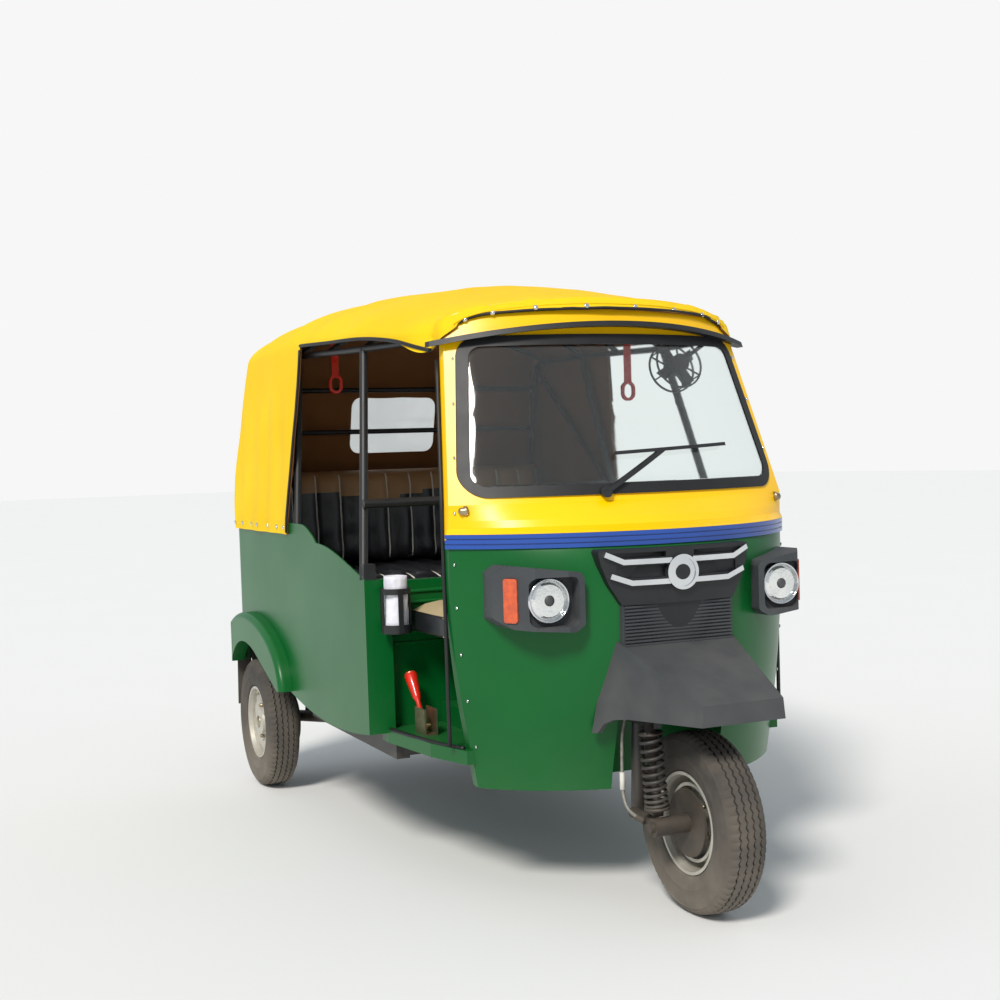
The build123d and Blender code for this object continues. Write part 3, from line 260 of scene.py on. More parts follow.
canvas_out = finish_material("yellow canvas", srgb(255, 214, 6), srgb(250, 196, 0), 0.62, (3.5, 0.5),
                             (1.0, 0.0004), threads=420.0, specular=0.3)
canvas_in = finish_material("brown canvas lining", srgb(146, 92, 40), srgb(118, 72, 30), 0.8, (4.0, 0.5),
                            (1.0, 0.0005), threads=420.0, sheen=0.1)
piping_black = finish_material("black piping", srgb(20, 20, 22), srgb(34, 34, 36), 0.5, (30.0, 0.4),
                               (1200.0, 0.0002))
clear_sheet = finish_material("clear vinyl sheet", (0.82, 0.86, 0.86, 1), (0.74, 0.78, 0.78, 1), 0.09,
                              (8.0, 0.6), (12.0, 0.002), clear=0.85)
black_vinyl = finish_material("black vinyl", srgb(26, 28, 32), srgb(40, 43, 48), 0.36, (12.0, 0.45),
                              (700.0, 0.00035), coat=0.15)
tan_vinyl = finish_material("tan vinyl", srgb(168, 128, 84), srgb(140, 104, 66), 0.5, (10.0, 0.4),
                            (700.0, 0.0003))
beige_vinyl = finish_material("beige vinyl", srgb(190, 172, 134), srgb(160, 144, 108), 0.5, (10.0, 0.4),
                              (700.0, 0.0003))
white_piping = finish_material("white piping", srgb(214, 212, 204), srgb(180, 176, 166), 0.5, (30.0, 0.4),
                               (900.0, 0.0001))
zinc_steel = finish_material("zinc plated steel", srgb(176, 166, 140), srgb(128, 112, 78), 0.34, (40.0, 0.7),
                             (900.0, 0.0001), metallic=0.9)
dark_steel = finish_material("dark steel", srgb(44, 42, 41), srgb(84, 72, 60), 0.5, (26.0, 0.6),
                             (500.0, 0.0003), metallic=0.5, dust=0.6, dust_top=0.6)
white_paper = finish_material("white paper", srgb(226, 226, 232), srgb(190, 190, 204), 0.7, (30.0, 0.6),
                              (60.0, 0.003))
grey_metal = finish_material("cast grey metal", srgb(92, 94, 96), srgb(66, 66, 68), 0.55, (20.0, 0.6),
                             (300.0, 0.0006), metallic=0.6, dust=0.5)
flap_rubber = finish_material("flap rubber", srgb(30, 30, 31), srgb(56, 52, 48), 0.75, (14.0, 0.5),
                              (400.0, 0.0003), dust=0.8)
red_plastic = finish_material("red plastic", srgb(214, 38, 20), srgb(178, 24, 14), 0.26, (30.0, 0.4),
                              (600.0, 0.0001), coat=0.4)
hose_braid = finish_material("braided hose cover", srgb(150, 148, 138), srgb(92, 90, 84), 0.45, (60.0, 0.7),
                             (900.0, 0.0006), metallic=0.4)
floor_rubber = finish_material("floor rubber", srgb(46, 47, 46), srgb(74, 70, 62), 0.7, (10.0, 0.6),
                               (500.0, 0.0004), dust=0.5, dust_top=0.9)

SLOT_FINISH = {
    "green_paint": green_paint, "yellow_paint": yellow_paint, "blue_trim": blue_trim,
    "black_tube": black_tube, "black_plastic": black_plastic, "grey_plastic": grey_plastic,
    "seal_rubber": seal_rubber, "tyre_rubber": tyre_rubber, "screen_glass": screen_glass,
    "lamp_glass": lamp_glass, "amber_lens": amber_lens, "red_lens": red_lens,
    "bright_chrome": bright_chrome, "wheel_steel": wheel_steel, "yellow_canvas": canvas_out,
    "clear_sheet": clear_sheet, "black_vinyl": black_vinyl, "zinc_steel": zinc_steel,
    "dark_steel": dark_steel, "white_paper": white_paper, "grey_metal": grey_metal,
    "flap_rubber": flap_rubber, "red_plastic": red_plastic, "hose_braid": hose_braid,
}
for part in frame["record"]["subparts"]:
    finish = SLOT_FINISH[part["material_slot"]]
    skin = nodes[part["node"]].data
    if skin.materials:
        for place in range(len(skin.materials)):
            skin.materials[place] = finish
    else:
        skin.materials.append(finish)


# Making pieces
def piece(name, verts, faces, finishes, body="chassis", smooth=True, index=None):
    """A mesh piece in the row frame that rides on a body. index gives each face's finish."""
    data = bpy.data.meshes.new(name)
    data.from_pydata([tuple(v) for v in verts], [], faces)
    for finish in finishes if isinstance(finishes, (list, tuple)) else [finishes]:
        data.materials.append(finish)
    data.polygons.foreach_set("use_smooth", [smooth] * len(data.polygons))
    if index is not None:
        data.polygons.foreach_set("material_index", index)
    data.update()
    obj = bpy.data.objects.new(name, data)
    bpy.context.scene.collection.objects.link(obj)
    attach(obj, body)
    return obj


class Build:
    """Collects faces of several simple forms into one piece."""

    def __init__(self):
        self.verts, self.faces, self.index = [], [], []

    def add(self, verts, faces, finish=0):
        start = len(self.verts)
        self.verts += [Vector(v) for v in verts]
        self.faces += [[start + i for i in f] for f in faces]
        self.index += [finish] * len(faces)

    def tube(self, points, radius, sides=8, closed=False, finish=0, flat=None):
        """A tube on a polyline. radius is a number or one per point; flat squashes it along one axis."""
        points = [Vector(p) for p in points]
        n = len(points)
        radii = radius if isinstance(radius, (list, tuple)) else [radius] * n
        tangents = []
        for i in range(n):
            a = points[(i - 1) % n] if closed or i else points[0]
            b = points[(i + 1) % n] if closed or i < n - 1 else points[-1]
            tangents.append((b - a).normalized())
        side = tangents[0].orthogonal().normalized()
        verts, faces = [], []
        for i in range(n):
            side = (side - tangents[i] * side.dot(tangents[i])).normalized()
            other = tangents[i].cross(side)
            for k in range(sides):
                angle = 2 * math.pi * k / sides
                offset = side * math.cos(angle) * radii[i] + other * math.sin(angle) * radii[i]
                if flat:
                    axis, share = flat
                    offset -= Vector(axis) * offset.dot(Vector(axis)) * (1 - share)
                verts.append(points[i] + offset)
        for i in range(n if closed else n - 1):
            j = (i + 1) % n
            for k in range(sides):
                m = (k + 1) % sides
                faces.append([i * sides + k, i * sides + m, j * sides + m, j * sides + k])
        if not closed:
            faces.append(list(range(sides))[::-1])
            faces.append([(n - 1) * sides + k for k in range(sides)])
        self.add(verts, faces, finish)

    def turned(self, origin, axis, profile, segments=24, finish=0, closed=False):
        """A form turned about an axis through origin. profile is (along, radius) pairs."""
        axis = Vector(axis).normalized()
        side = axis.orthogonal().normalized()
        other = axis.cross(side)
        origin = Vector(origin)
        verts, faces = [], []
        for along, radius in profile:
            for k in range(segments):
                angle = 2 * math.pi * k / segments
                spoke = side * math.cos(angle) + other * math.sin(angle)
                verts.append(origin + axis * along + spoke * radius)
        rows = len(profile)
        for i in range(rows if closed else rows - 1):
            j = (i + 1) % rows
            for k in range(segments):
                m = (k + 1) % segments
                faces.append([i * segments + k, i * segments + m, j * segments + m, j * segments + k])
        if not closed:
            faces.append(list(range(segments))[::-1])
            faces.append([(rows - 1) * segments + k for k in range(segments)])
        self.add(verts, faces, finish)

    def block(self, centre, size, finish=0, chamfer=0.0015, turn=None):
        """A box with chamfered edges."""
        bm = bmesh.new()
        bmesh.ops.create_cube(bm, size=1.0)
        bmesh.ops.scale(bm, vec=Vector(size), verts=bm.verts)
        if chamfer:
            bmesh.ops.bevel(bm, geom=list(bm.edges), offset=min(chamfer, min(size) * 0.3), segments=2,
                            affect="EDGES", profile=0.6)
        matrix = Matrix.Translation(Vector(centre)) @ (turn.to_4x4() if turn else Matrix.Identity(4))
        bmesh.ops.transform(bm, matrix=matrix, verts=bm.verts)
        bm.verts.index_update()
        self.add([v.co.copy() for v in bm.verts], [[v.index for v in f.verts] for f in bm.faces], finish)
        bm.free()

    def done(self, name, finishes, body="chassis", slot=None, smooth=True):
        obj = piece(name, self.verts, self.faces, finishes, body, smooth, self.index)
        bm = bmesh.new()
        bm.from_mesh(obj.data)
        bmesh.ops.recalc_face_normals(bm, faces=bm.faces)
        bm.to_mesh(obj.data)
        bm.free()
        return obj


def sharp_by_angle(obj, degrees=35):
    """Smooth shading with the sharp edges kept."""
    bm = bmesh.new()
    bm.from_mesh(obj.data)
    for e in bm.edges:
        e.smooth = e.calc_face_angle(3.0) < math.radians(degrees)
    bm.to_mesh(obj.data)
    bm.free()
    return obj


def skin_tree(*names):
    """The faces of some CAD nodes, to find points on them."""
    verts, polys = [], []
    for name in names:
        start = len(verts)
        verts += [v.co.copy() for v in nodes[name].data.vertices]
        polys += [[start + i for i in p.vertices] for p in nodes[name].data.polygons]
    return BVHTree.FromPolygons(verts, polys)


def curve_through(points, steps=8):
    """Points on a smooth line through the given ones."""
    points = [Vector(p) for p in points]
    out = []
    for i in range(len(points) - 1):
        p0 = points[max(i - 1, 0)]
        p1, p2 = points[i], points[i + 1]
        p3 = points[min(i + 2, len(points) - 1)]
        for k in range(steps):
            t = k / steps
            out.append(0.5 * ((2 * p1) + (p2 - p0) * t + (2 * p0 - 5 * p1 + 4 * p2 - p3) * t ** 2
                              + (3 * p1 - p0 - 3 * p2 + p3) * t ** 3))
    return out + [points[-1]]


# Canopy cloth, from the CAD skin
BOW_LINES = [-0.632, -0.022, 0.290, 0.579, 0.880, 1.12]


def cloth_lift(p):
    """How far the cloth stands out of the plain skin: slack between bows, and folds."""
    lift = 0.0
    for a, b in zip(BOW_LINES[:-1], BOW_LINES[1:]):
        if a <= p.y < b:
            on_top = max(0.0, min(1.0, (p.z - 1.50) / 0.08))
            lift -= 0.007 * math.sin(math.pi * (p.y - a) / (b - a)) ** 2 * on_top
    shoulder = math.exp(-((p.z - 1.50) / 0.07) ** 2)
    lift += 0.0055 * shoulder * noise.noise(Vector((p.x * 2.0, p.y * 7.0, p.z * 2.0)))
    lift += 0.0040 * noise.noise(Vector((p.x * 5.0, p.y * 2.6, p.z * 5.0 + p.y * 3.0)))
    lift += 0.0022 * noise.noise(Vector((p.x * 13.0, p.y * 9.0, p.z * 6.0)))
    if p.z < 1.45:
        fade = min(1.0, (1.45 - p.z) / 0.15)
        lift += 0.0035 * fade * math.sin(p.y * 38 + 2.2 * noise.noise(Vector((p.y * 4, p.z * 3, 0.3)))) \
            * (1 if abs(p.x) > 0.5 else 0)
        lift += 0.003 * fade * math.sin(p.x * 30 + 1.5 * noise.noise(Vector((p.x * 4, p.z * 2, 5.1)))) \
            * (1 if p.y > 1.05 else 0)
    return lift


HEM_FRONT, HEM_BLEND = -0.632, 0.332
CLOTH = 0.006
ROOF_CORE = Vector((0, -0.30, 1.36))


def tuck_front(p):
    """Draws the front of the roof cloth back and down on to the header over the windscreen."""
    t = min(1.0, max(0.0, (HEM_FRONT + HEM_BLEND - p.y) / HEM_BLEND)) ** 2
    rim = min(1.0, abs(p.x) / 0.45) ** 2
    return Vector((p.x * (1 - 0.115 * t), p.y + t * (0.012 + 0.108 * rim),
                   p.z + t * (-0.027 + 0.040 * rim)))


header_tree = skin_tree("cowl_upper")


def over_header(p, depth):
    """Keeps the cloth outside the header. depth is how far below the cloth's outer face p lies."""
    if p.y > -0.42:
        return p
    way = (p - ROOF_CORE).normalized()
    needs = []
    for dx, dz in ((0, 0), (0.02, 0), (-0.02, 0), (0, 0.02), (0, -0.02)):
        near = p + Vector((dx, 0, dz))
        hit = header_tree.ray_cast(near + way * 0.25, -way, 0.35)[0]
        needs.append((hit - near).dot(way) + 0.0095 - depth if hit else -0.02)
    soft = sum(math.log1p(math.exp(min(40.0, n / 0.004))) * 0.004 for n in needs) / len(needs)
    return p + way * soft


def outward(p):
    """The way out of the roof at p: sideways on the sides, back at the tail, up on top."""
    return Vector((p.x, max(0.0, p.y - 0.8) * 1.6, max(p.z - 1.15, 0.0) * 1.2)).normalized()


def make_canopy():
    """The CAD roof skin, cut finer, slackened and folded, yellow outside and brown inside."""
    bm = bmesh.new()
    bm.from_mesh(nodes["canopy"].data)
    bmesh.ops.remove_doubles(bm, verts=bm.verts, dist=2e-5)
    for _ in range(8):
        long = [e for e in bm.edges if e.calc_length() > 0.034]
        if not long:
            break
        bmesh.ops.subdivide_edges(bm, edges=long, cuts=1)
        bmesh.ops.triangulate(bm, faces=[f for f in bm.faces if len(f.verts) > 3])
    bm.normal_update()
    for f in bm.faces:
        f.material_index = 0 if f.normal.dot(outward(f.calc_center_median())) > 0.15 else 1
        f.smooth = True
    for v in bm.verts:
        depth = 0.0 if any(f.material_index == 0 for f in v.link_faces) else CLOTH
        v.co = over_header(tuck_front(v.co + outward(v.co) * cloth_lift(v.co)), depth)
    bm.verts.index_update()
    outer = BVHTree.FromPolygons([v.co.copy() for v in bm.verts],
                                 [[v.index for v in f.verts] for f in bm.faces if f.material_index == 0])
    for v in bm.verts:
        if v.co.y > -0.30 or any(f.material_index == 0 for f in v.link_faces):
            continue
        near, normal, _, _ = outer.find_nearest(v.co)
        if (v.co - near).dot(normal) > -0.004:
            v.co = near - normal * 0.005
    data = bpy.data.meshes.new("canopy_cloth")
    bm.to_mesh(data)
    bm.free()
    data.materials.append(canvas_out)
    data.materials.append(canvas_in)
    obj = bpy.data.objects.new("canopy_cloth", data)
    bpy.context.scene.collection.objects.link(obj)
    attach(obj, "chassis")
    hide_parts("canopy")
    return sharp_by_angle(obj, 50)


canopy_cloth = make_canopy()
canopy_tree = BVHTree.FromPolygons([v.co.copy() for v in canopy_cloth.data.vertices],
                                   [list(p.vertices) for p in canopy_cloth.data.polygons])


def side_point(side, y, z, off=0.0):
    """The outer face of the canopy's side at a height, seen straight from the side."""
    hit = canopy_tree.ray_cast(Vector((side * 1.0, y, z)), Vector((-side, 0, 0)))
    return (hit[0] + Vector((side * off, 0, 0))) if hit[0] else None


# Hem piping along the sides of the roof and down the curtain's front edge
HEM = [(440, 1511), (200, 1500), (-80, 1488), (-300, 1462), (-490, 1419), (-540, 1428)]
hems = Build()
for side in (-1, 1):
    run = curve_through([(0, y / 1000, z / 1000) for y, z in HEM], 10)
    points = [side_point(side, p.y, p.z + 0.006, 0.002) for p in run]
    points = [p - Vector((0, 0, 0.004)) for p in points if p]
    hems.tube(points, 0.0055, 8)
    edge = [(0.440 + (1.511 - z) * 0.0968 + 0.008, z) for z in np.linspace(1.50, 0.918, 26)]
    points = [side_point(side, y, z, 0.0005) for y, z in edge]
    points = [p for p in points if p]
    if len(points) > 3:
        hems.tube([p - Vector((0, 0.007, 0)) for p in points], 0.0042, 8)
hems.done("hem_piping", piping_black)


# Seam, piping and press studs of the front hem
def hem_line(back, off, first=0.05, last=0.95, count=49):
    """Points on the roof cloth, so far behind its front edge, from one side to the other."""
    out = []
    for k in range(count):
        angle = math.pi * (first + (last - first) * k / (count - 1))
        place = tuck_front(Vector((0.450 * math.cos(angle), HEM_FRONT + back,
                                   1.462 + 0.090 * math.sin(angle))))
        way = (place - ROOF_CORE).normalized()
        near = canopy_tree.ray_cast(place + way * 0.2, -way, 0.4)[0]
        near = near or canopy_tree.find_nearest(place)[0]
        out.append((near + way * off, way))
    return out


seams = Build()
seams.tube([p for p, _ in hem_line(0.030, 0.0010)], 0.0022, 6)
seams.done("front_hem_seam", canvas_out)
edge = Build()
edge.tube([p for p, _ in hem_line(0.003, 0.0)], 0.0042, 8)
edge.done("front_hem_piping", piping_black)
studs = Build()
CURTAIN_STUD_Z = 0.934
STUD_PROFILE = [(-0.002, 0.0065), (0.0015, 0.0075), (0.0035, 0.0062), (0.0046, 0.0035), (0.005, 0.0006)]
for p, way in hem_line(0.014, 0.0, 0.10, 0.90, 8):
    studs.turned(p, (way + Vector((0, -0.5, 0))).normalized(), STUD_PROFILE, 14)
for side in (-1, 1):
    for y in (0.53, 0.63, 0.74, 0.85, 0.96, 1.07, 1.17):
        p = side_point(side, y, CURTAIN_STUD_Z)
        if p:
            studs.turned(p, (side, 0, 0), STUD_PROFILE, 14)
for x in (-0.5, -0.375, -0.25, -0.125, 0.0, 0.125, 0.25, 0.375, 0.5):
    hit = canopy_tree.ray_cast(Vector((x, 2.0, CURTAIN_STUD_Z)), Vector((0, -1, 0)))
    if hit[0]:
        studs.turned(hit[0], (0, 1, 0), STUD_PROFILE, 14)
studs.done("press_studs", bright_chrome)

FRONT_AXLE_Y, REAR_AXLE_Y, AXLE_Z, REAR_WHEEL_X = -1.0, 1.0, 0.225, 0.56

# Tyres with zig-zag ribs. Columns across the tyre: x, radius, how far the zig-zag moves it
TREAD = [(-0.0400, 0.1275, 0), (-0.0475, 0.133, 0), (-0.0515, 0.146, 0), (-0.0538, 0.160, 0),
         (-0.0545, 0.162, 0), (-0.0540, 0.1635, 0), (-0.0550, 0.178, 0), (-0.0540, 0.193, 0),
         (-0.0520, 0.203, 0), (-0.0530, 0.2045, 0), (-0.0515, 0.206, 0), (-0.0480, 0.2135, 0),
         (-0.0425, 0.2190, 0)]
for groove in (-0.0285, -0.0095, 0.0095, 0.0285):
    crown = 0.2247 - (abs(groove) / 0.0425) ** 2 * 0.0042
    TREAD += [(groove - 0.0027, crown, 1), (groove - 0.0019, crown - 0.0055, 1),
              (groove + 0.0019, crown - 0.0055, 1), (groove + 0.0027, crown, 1)]
TREAD += [(-x, r, k) for x, r, k in TREAD[12::-1]]


def make_tyre(node, body, centre):
    """A ribbed tyre about X; the shoulder ribs carry small cross cuts."""
    segments, teeth = 264, 66
    verts, faces = [], []
    for s in range(segments):
        angle = 2 * math.pi * s / segments
        step = s % 4
        zig = (-1, 0, 1, 0)[step] * 0.0023
        for x, r, share in TREAD:
            if 0.2135 <= r <= 0.2192 and step == 2:
                r -= 0.0026
            verts.append((centre[0] + x + zig * share, centre[1] - r * math.sin(angle),
                          centre[2] + r * math.cos(angle)))
    columns = len(TREAD)
    for s in range(segments):
        t = (s + 1) % segments
        for k in range(columns):
            m = (k + 1) % columns
            faces.append([s * columns + k, s * columns + m, t * columns + m, t * columns + k])
    tyre = piece(node + "_tread", verts, faces, tyre_rubber, body)
    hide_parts(node)
    return sharp_by_angle(tyre, 30)


WHEELS = [("front_tyre", "front_wheel", (0.0, FRONT_AXLE_Y, AXLE_Z)),
          ("rear_tyre_right", "rear_wheel_right", (-REAR_WHEEL_X, REAR_AXLE_Y, AXLE_Z)),
          ("rear_tyre_left", "rear_wheel_left", (REAR_WHEEL_X, REAR_AXLE_Y, AXLE_Z))]
for node, body, centre in WHEELS:
    make_tyre(node, body, centre)

# Wheel nuts, hub caps and valves
for body, x, side in (("rear_wheel_right", -REAR_WHEEL_X, -1), ("rear_wheel_left", REAR_WHEEL_X, 1)):
    trim = Build()
    for k in range(5):
        angle = 2 * math.pi * k / 5
        y, z = REAR_AXLE_Y + 0.058 * math.cos(angle), AXLE_Z + 0.058 * math.sin(angle)
        trim.turned((x + side * 0.012, y, z), (side, 0, 0),
                    [(0, 0.0085), (0.012, 0.0085), (0.014, 0.006), (0.018, 0.0055), (0.019, 0.003)], 6)
    trim.turned((x + side * 0.034, REAR_AXLE_Y, AXLE_Z), (side, 0, 0),
                [(0, 0.022), (0.006, 0.021), (0.009, 0.012), (0.0095, 0.001)], 24)
    trim.tube([(x + side * 0.03, REAR_AXLE_Y, AXLE_Z + 0.108),
               (x + side * 0.044, REAR_AXLE_Y, AXLE_Z + 0.104)], 0.004, 8)
    trim.done("hub_trim_" + body.split("_")[-1], zinc_steel, body)
hub = Build()
for k in range(6):
    angle = 2 * math.pi * k / 6 + 0.3
    hub.turned((-0.020, FRONT_AXLE_Y + 0.072 * math.cos(angle), AXLE_Z + 0.072 * math.sin(angle)), (-1, 0, 0),
               [(0, 0.006), (0.006, 0.006), (0.0075, 0.003)], 6)
    hub.turned((0.024, FRONT_AXLE_Y + 0.06 * math.cos(angle), AXLE_Z + 0.06 * math.sin(angle)), (1, 0, 0),
               [(0, 0.0075), (0.010, 0.0075), (0.012, 0.004)], 6)
hub.done("front_hub_bolts", zinc_steel, "front_wheel")

# Front spring and damper
top, foot = Vector((-0.130, -0.985, 0.488)), Vector((-0.112, -0.985, 0.250))
along = (foot - top).normalized()
length = (foot - top).length
across = along.orthogonal().normalized()
other = along.cross(across)
spring = Build()
coil = []
turns, per_turn = 11, 26
for i in range(turns * per_turn + 1):
    t = i / (turns * per_turn)
    place = length * (0.125 + 0.80 * (1 - (1 - t) ** 1.28))
    angle = 2 * math.pi * turns * t
    coil.append(top + along * place + (across * math.cos(angle) + other * math.sin(angle)) * 0.0262)
spring.tube(coil, 0.0044, 8)
spring.turned(top, along, [(0.0, 0.011), (0.004, 0.0145), (0.03, 0.0145), (0.031, 0.0315),
                           (0.035, 0.0325), (0.037, 0.0185), (0.10, 0.0185), (0.102, 0.0165),
                           (0.108, 0.0085), (length * 0.90, 0.0085), (length * 0.905, 0.0325),
                           (length * 0.93, 0.0325), (length * 0.94, 0.016), (length, 0.014)], 28, 1)
front_spring = spring.done("front_spring", [black_tube, dark_steel], "steering", "black_tube")
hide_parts("front_shock")

# Brake hose
HOSE = [(-0.124, -0.864, 0.494), (-0.140, -0.8655, 0.450), (-0.144, -0.867, 0.368),
        (-0.146, -0.870, 0.300), (-0.1465, -0.880, 0.266), (-0.1435, -0.899, 0.244), (-0.136, -0.926, 0.236)]
hose_curve = bpy.data.curves.new("brake_hose_line", "CURVE")
hose_curve.dimensions = "3D"
hose_curve.bevel_depth = 0.0045
hose_curve.bevel_resolution = 3
hose_curve.resolution_u = 16
line = hose_curve.splines.new("NURBS")
line.points.add(len(HOSE) - 1)
for point, place in zip(line.points, HOSE):
    point.co = (*place, 1.0)
line.use_endpoint_u = True
line.order_u = 3
hose_curve.materials.append(hose_braid)
brake_hose = bpy.data.objects.new("brake_hose_line", hose_curve)
bpy.context.scene.collection.objects.link(brake_hose)
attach(brake_hose, "steering")
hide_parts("brake_hose")
sleeve = Build()
sleeve.turned((-0.1448, -0.8683, 0.338), (-0.029, -0.044, -1),
              [(-0.001, 0.0052), (0.0, 0.0068), (0.042, 0.0068), (0.043, 0.0052)], 14)
hose_sleeve = sleeve.done("hose_sleeve", white_piping, "steering")


# Padded seats
def pad(name, low, high, channels, across_axis, crown, finishes, node, pipe=True, split=None,
        lean=0.0):
    """A crowned cushion. Channels run across its length; split gives a share of its height above
    which the second finish starts; lean moves the top back."""
    low, high = Vector(low), Vector(high)
    size = high - low
    nu, nv = channels * 8, 22
    verts, faces, index = [], [], []

    def shaped(u, v, front):
        edge = min(u, 1 - u, 0.12) / 0.12
        edge_v = min(v, 1 - v, 0.16) / 0.16
        swell = math.sqrt(max(0.0, 1 - (1 - edge) ** 2)) * math.sqrt(max(0.0, 1 - (1 - edge_v) ** 2))
        channel = abs(math.sin(math.pi * u * channels)) ** 0.55
        wave = 0.12 * noise.noise(Vector((u * 9, v * 6, front * 3.1)))
        return swell * (0.72 + 0.28 * channel + wave)

    for face in (0, 1):
        for j in range(nv + 1):
            for i in range(nu + 1):
                u, v = i / nu, j / nv
                depth = crown * shaped(u, v, face) if face == 0 else 0.0
                if across_axis == "Z":
                    z = high.z - crown + depth if face == 0 else low.z
                    pinch = 1 - 0.012 * math.sin(math.pi * v)
                    verts.append(((low.x + size.x * (0.5 + (u - 0.5) * pinch)), low.y + size.y * v, z))
                else:
                    y = low.y + crown - depth if face == 0 else high.y
                    verts.append((low.x + size.x * u, y + lean * v, low.z + size.z * v))
                if j < nv and i < nu:
                    a = face * (nu + 1) * (nv + 1) + j * (nu + 1) + i
                    quad = [a, a + 1, a + nu + 2, a + nu + 1]
                    faces.append(quad if face == 0 else quad[::-1])
                    second = split is not None and face == 0 and v > split + 0.05 * math.sin(u * 12)
                    index.append(1 if second else 0)
    offset = (nu + 1) * (nv + 1)
    ring = [i for i in range(nu + 1)] + [j * (nu + 1) + nu for j in range(1, nv + 1)] + \
           [nv * (nu + 1) + i for i in range(nu - 1, -1, -1)] + \
           [j * (nu + 1) for j in range(nv - 1, 0, -1)]
    for k, a in enumerate(ring):
        b = ring[(k + 1) % len(ring)]
        faces.append([a, a + offset, b + offset, b])
        index.append(0)
    cushion = piece(name, verts, faces, finishes, "chassis", True, index)
    bm = bmesh.new()
    bm.from_mesh(cushion.data)
    bmesh.ops.recalc_face_normals(bm, faces=bm.faces)
    bm.to_mesh(cushion.data)
    bm.free()
    sharp_by_angle(cushion, 60)
    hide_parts(node)
    if pipe:
        lines = Build()
        for c in range(channels + 1):
            u = min(max(c / channels, 0.004), 0.996)
            points = []
            for j in range(1, nv):
                i = int(round(u * nu))
                points.append(Vector(verts[j * (nu + 1) + i]))
            shift = Vector((0, 0, 0.001)) if across_axis == "Z" else Vector((0, -0.001, 0))
            lines.tube([p + shift for p in points], 0.0032, 6)
        lines.done(name + "_piping", white_piping)
    return cushion


pad("bench_cushion", (-0.56, 0.436, 0.6405), (0.56, 1.104, 0.7703), 12, "Z", 0.05,
    [black_vinyl, black_vinyl], "rear_seat_cushion")
pad("bench_backrest", (-0.54, 0.955, 0.772), (0.54, 1.075, 1.108), 12, "Y", 0.05,
    [black_vinyl, tan_vinyl], "rear_seat_back", split=0.72, lean=0.02)

pad("driver_cushion", (-0.465, -0.50, 0.6655), (0.465, -0.23, 0.7453), 3, "Z", 0.028,
    [beige_vinyl, beige_vinyl], "driver_seat", pipe=False)
band = Build()
corners = [(-0.463, -0.498), (0.463, -0.498), (0.463, -0.232), (-0.463, -0.232)]
for z in (0.6675, 0.7165):
    band.tube([(x, y, z) for x, y in corners], 0.0042, 8, closed=True, finish=1)
for (x0, y0), (x1, y1) in zip(corners, corners[1:] + corners[:1]):
    band.block(((x0 + x1) / 2, (y0 + y1) / 2, 0.692),
               (abs(x1 - x0) + 0.004, abs(y1 - y0) + 0.004, 0.047), 0, 0.0015)
band.done("driver_cushion_border", [black_vinyl, piping_black])
rest = Build()
rest.block((0, -0.2085, 1.022), (0.38, 0.028, 0.072), 0, 0.012)
backrest = rest.done("driver_backrest", black_vinyl, slot="black_vinyl")

# Screws along the door edge, and the latch studs
body_tree = skin_tree("cowl_lower", "cowl_upper")
dots = Build()
for side in (-1, 1):
    for z in (0.40, 0.52, 0.64, 0.76, 0.87, 1.00, 1.14, 1.28, 1.40):
        start = Vector((side * 1.0, -0.655 + max(0.0, z - 1.02) * 0.33, z))
        hit = body_tree.ray_cast(start, Vector((-side, 0, 0)))
        if hit[0]:
            dots.turned(hit[0], (side, 0, 0),
                        [(-0.001, 0.0048), (0.0018, 0.0052), (0.003, 0.0035), (0.0033, 0.0005)], 10)
dots.done("door_edge_screws", bright_chrome)
latch = Build()
for side in (-1, 1):
    hit = body_tree.ray_cast(Vector((side * 1.0, -0.672, 1.005)), Vector((-side, 0, 0)))
    if hit[0]:
        latch.turned(hit[0], (side, 0, 0),
                     [(-0.002, 0.0135), (0.004, 0.0135), (0.007, 0.010), (0.016, 0.009), (0.019, 0.0055),
                      (0.0195, 0.0006)], 18)
latch.done("door_latch_studs", zinc_steel)

# Bead that closes the step between the yellow band and the moulding
band_tree, belt_tree = skin_tree("cowl_upper"), skin_tree("belt_moulding")
bead = Build()
upper, lower = [], []
for k in range(61):
    angle = math.radians(-60 + 2 * k)
    way = Vector((math.sin(angle), -math.cos(angle), 0))
    centre = Vector((0, -0.35, 0))
    high_hit = band_tree.ray_cast(centre + way * 1.2 + Vector((0, 0, 0.962)), -way)
    low_hit = belt_tree.ray_cast(centre + way * 1.2 + Vector((0, 0, 0.943)), -way)
    if high_hit[0] and low_hit[0] and low_hit[0].y < -0.64:
        upper.append(high_hit[0] + way * 0.0006)
        lower.append(Vector((low_hit[0].x, low_hit[0].y, 0.9465)))
rows = len(upper)
bead.add(upper + lower, [[k, k + 1, rows + k + 1, rows + k] for k in range(rows - 1)])
bead.done("band_bead", yellow_paint)

# Painted shade: a black sheet on the cowl behind the grille and the louvres, standing in for the shade seen
# through their openings
cowl_tree = skin_tree("cowl_lower")
grille_shade = Build()


def painted_shade_sheet(z0, z1, half0, half1):
    """A black sheet of painted shade just ahead of the cowl between two heights, with its half widths there.
    """
    across, up = 24, 10
    verts, faces = [], []
    for j in range(up + 1):
        z = z0 + (z1 - z0) * j / up
        half = half0 + (half1 - half0) * j / up
        for i in range(across + 1):
            x = half * (2 * i / across - 1)
            hit = cowl_tree.ray_cast(Vector((x, -1.5, z)), Vector((0, 1, 0)))
            verts.append((hit[0] if hit[0] else Vector((x, -0.85, z))) + Vector((0, -0.0025, 0)))
    for j in range(up):
        for i in range(across):
            a = j * (across + 1) + i
            faces.append([a, a + 1, a + across + 2, a + across + 1])
    grille_shade.add(verts, faces)


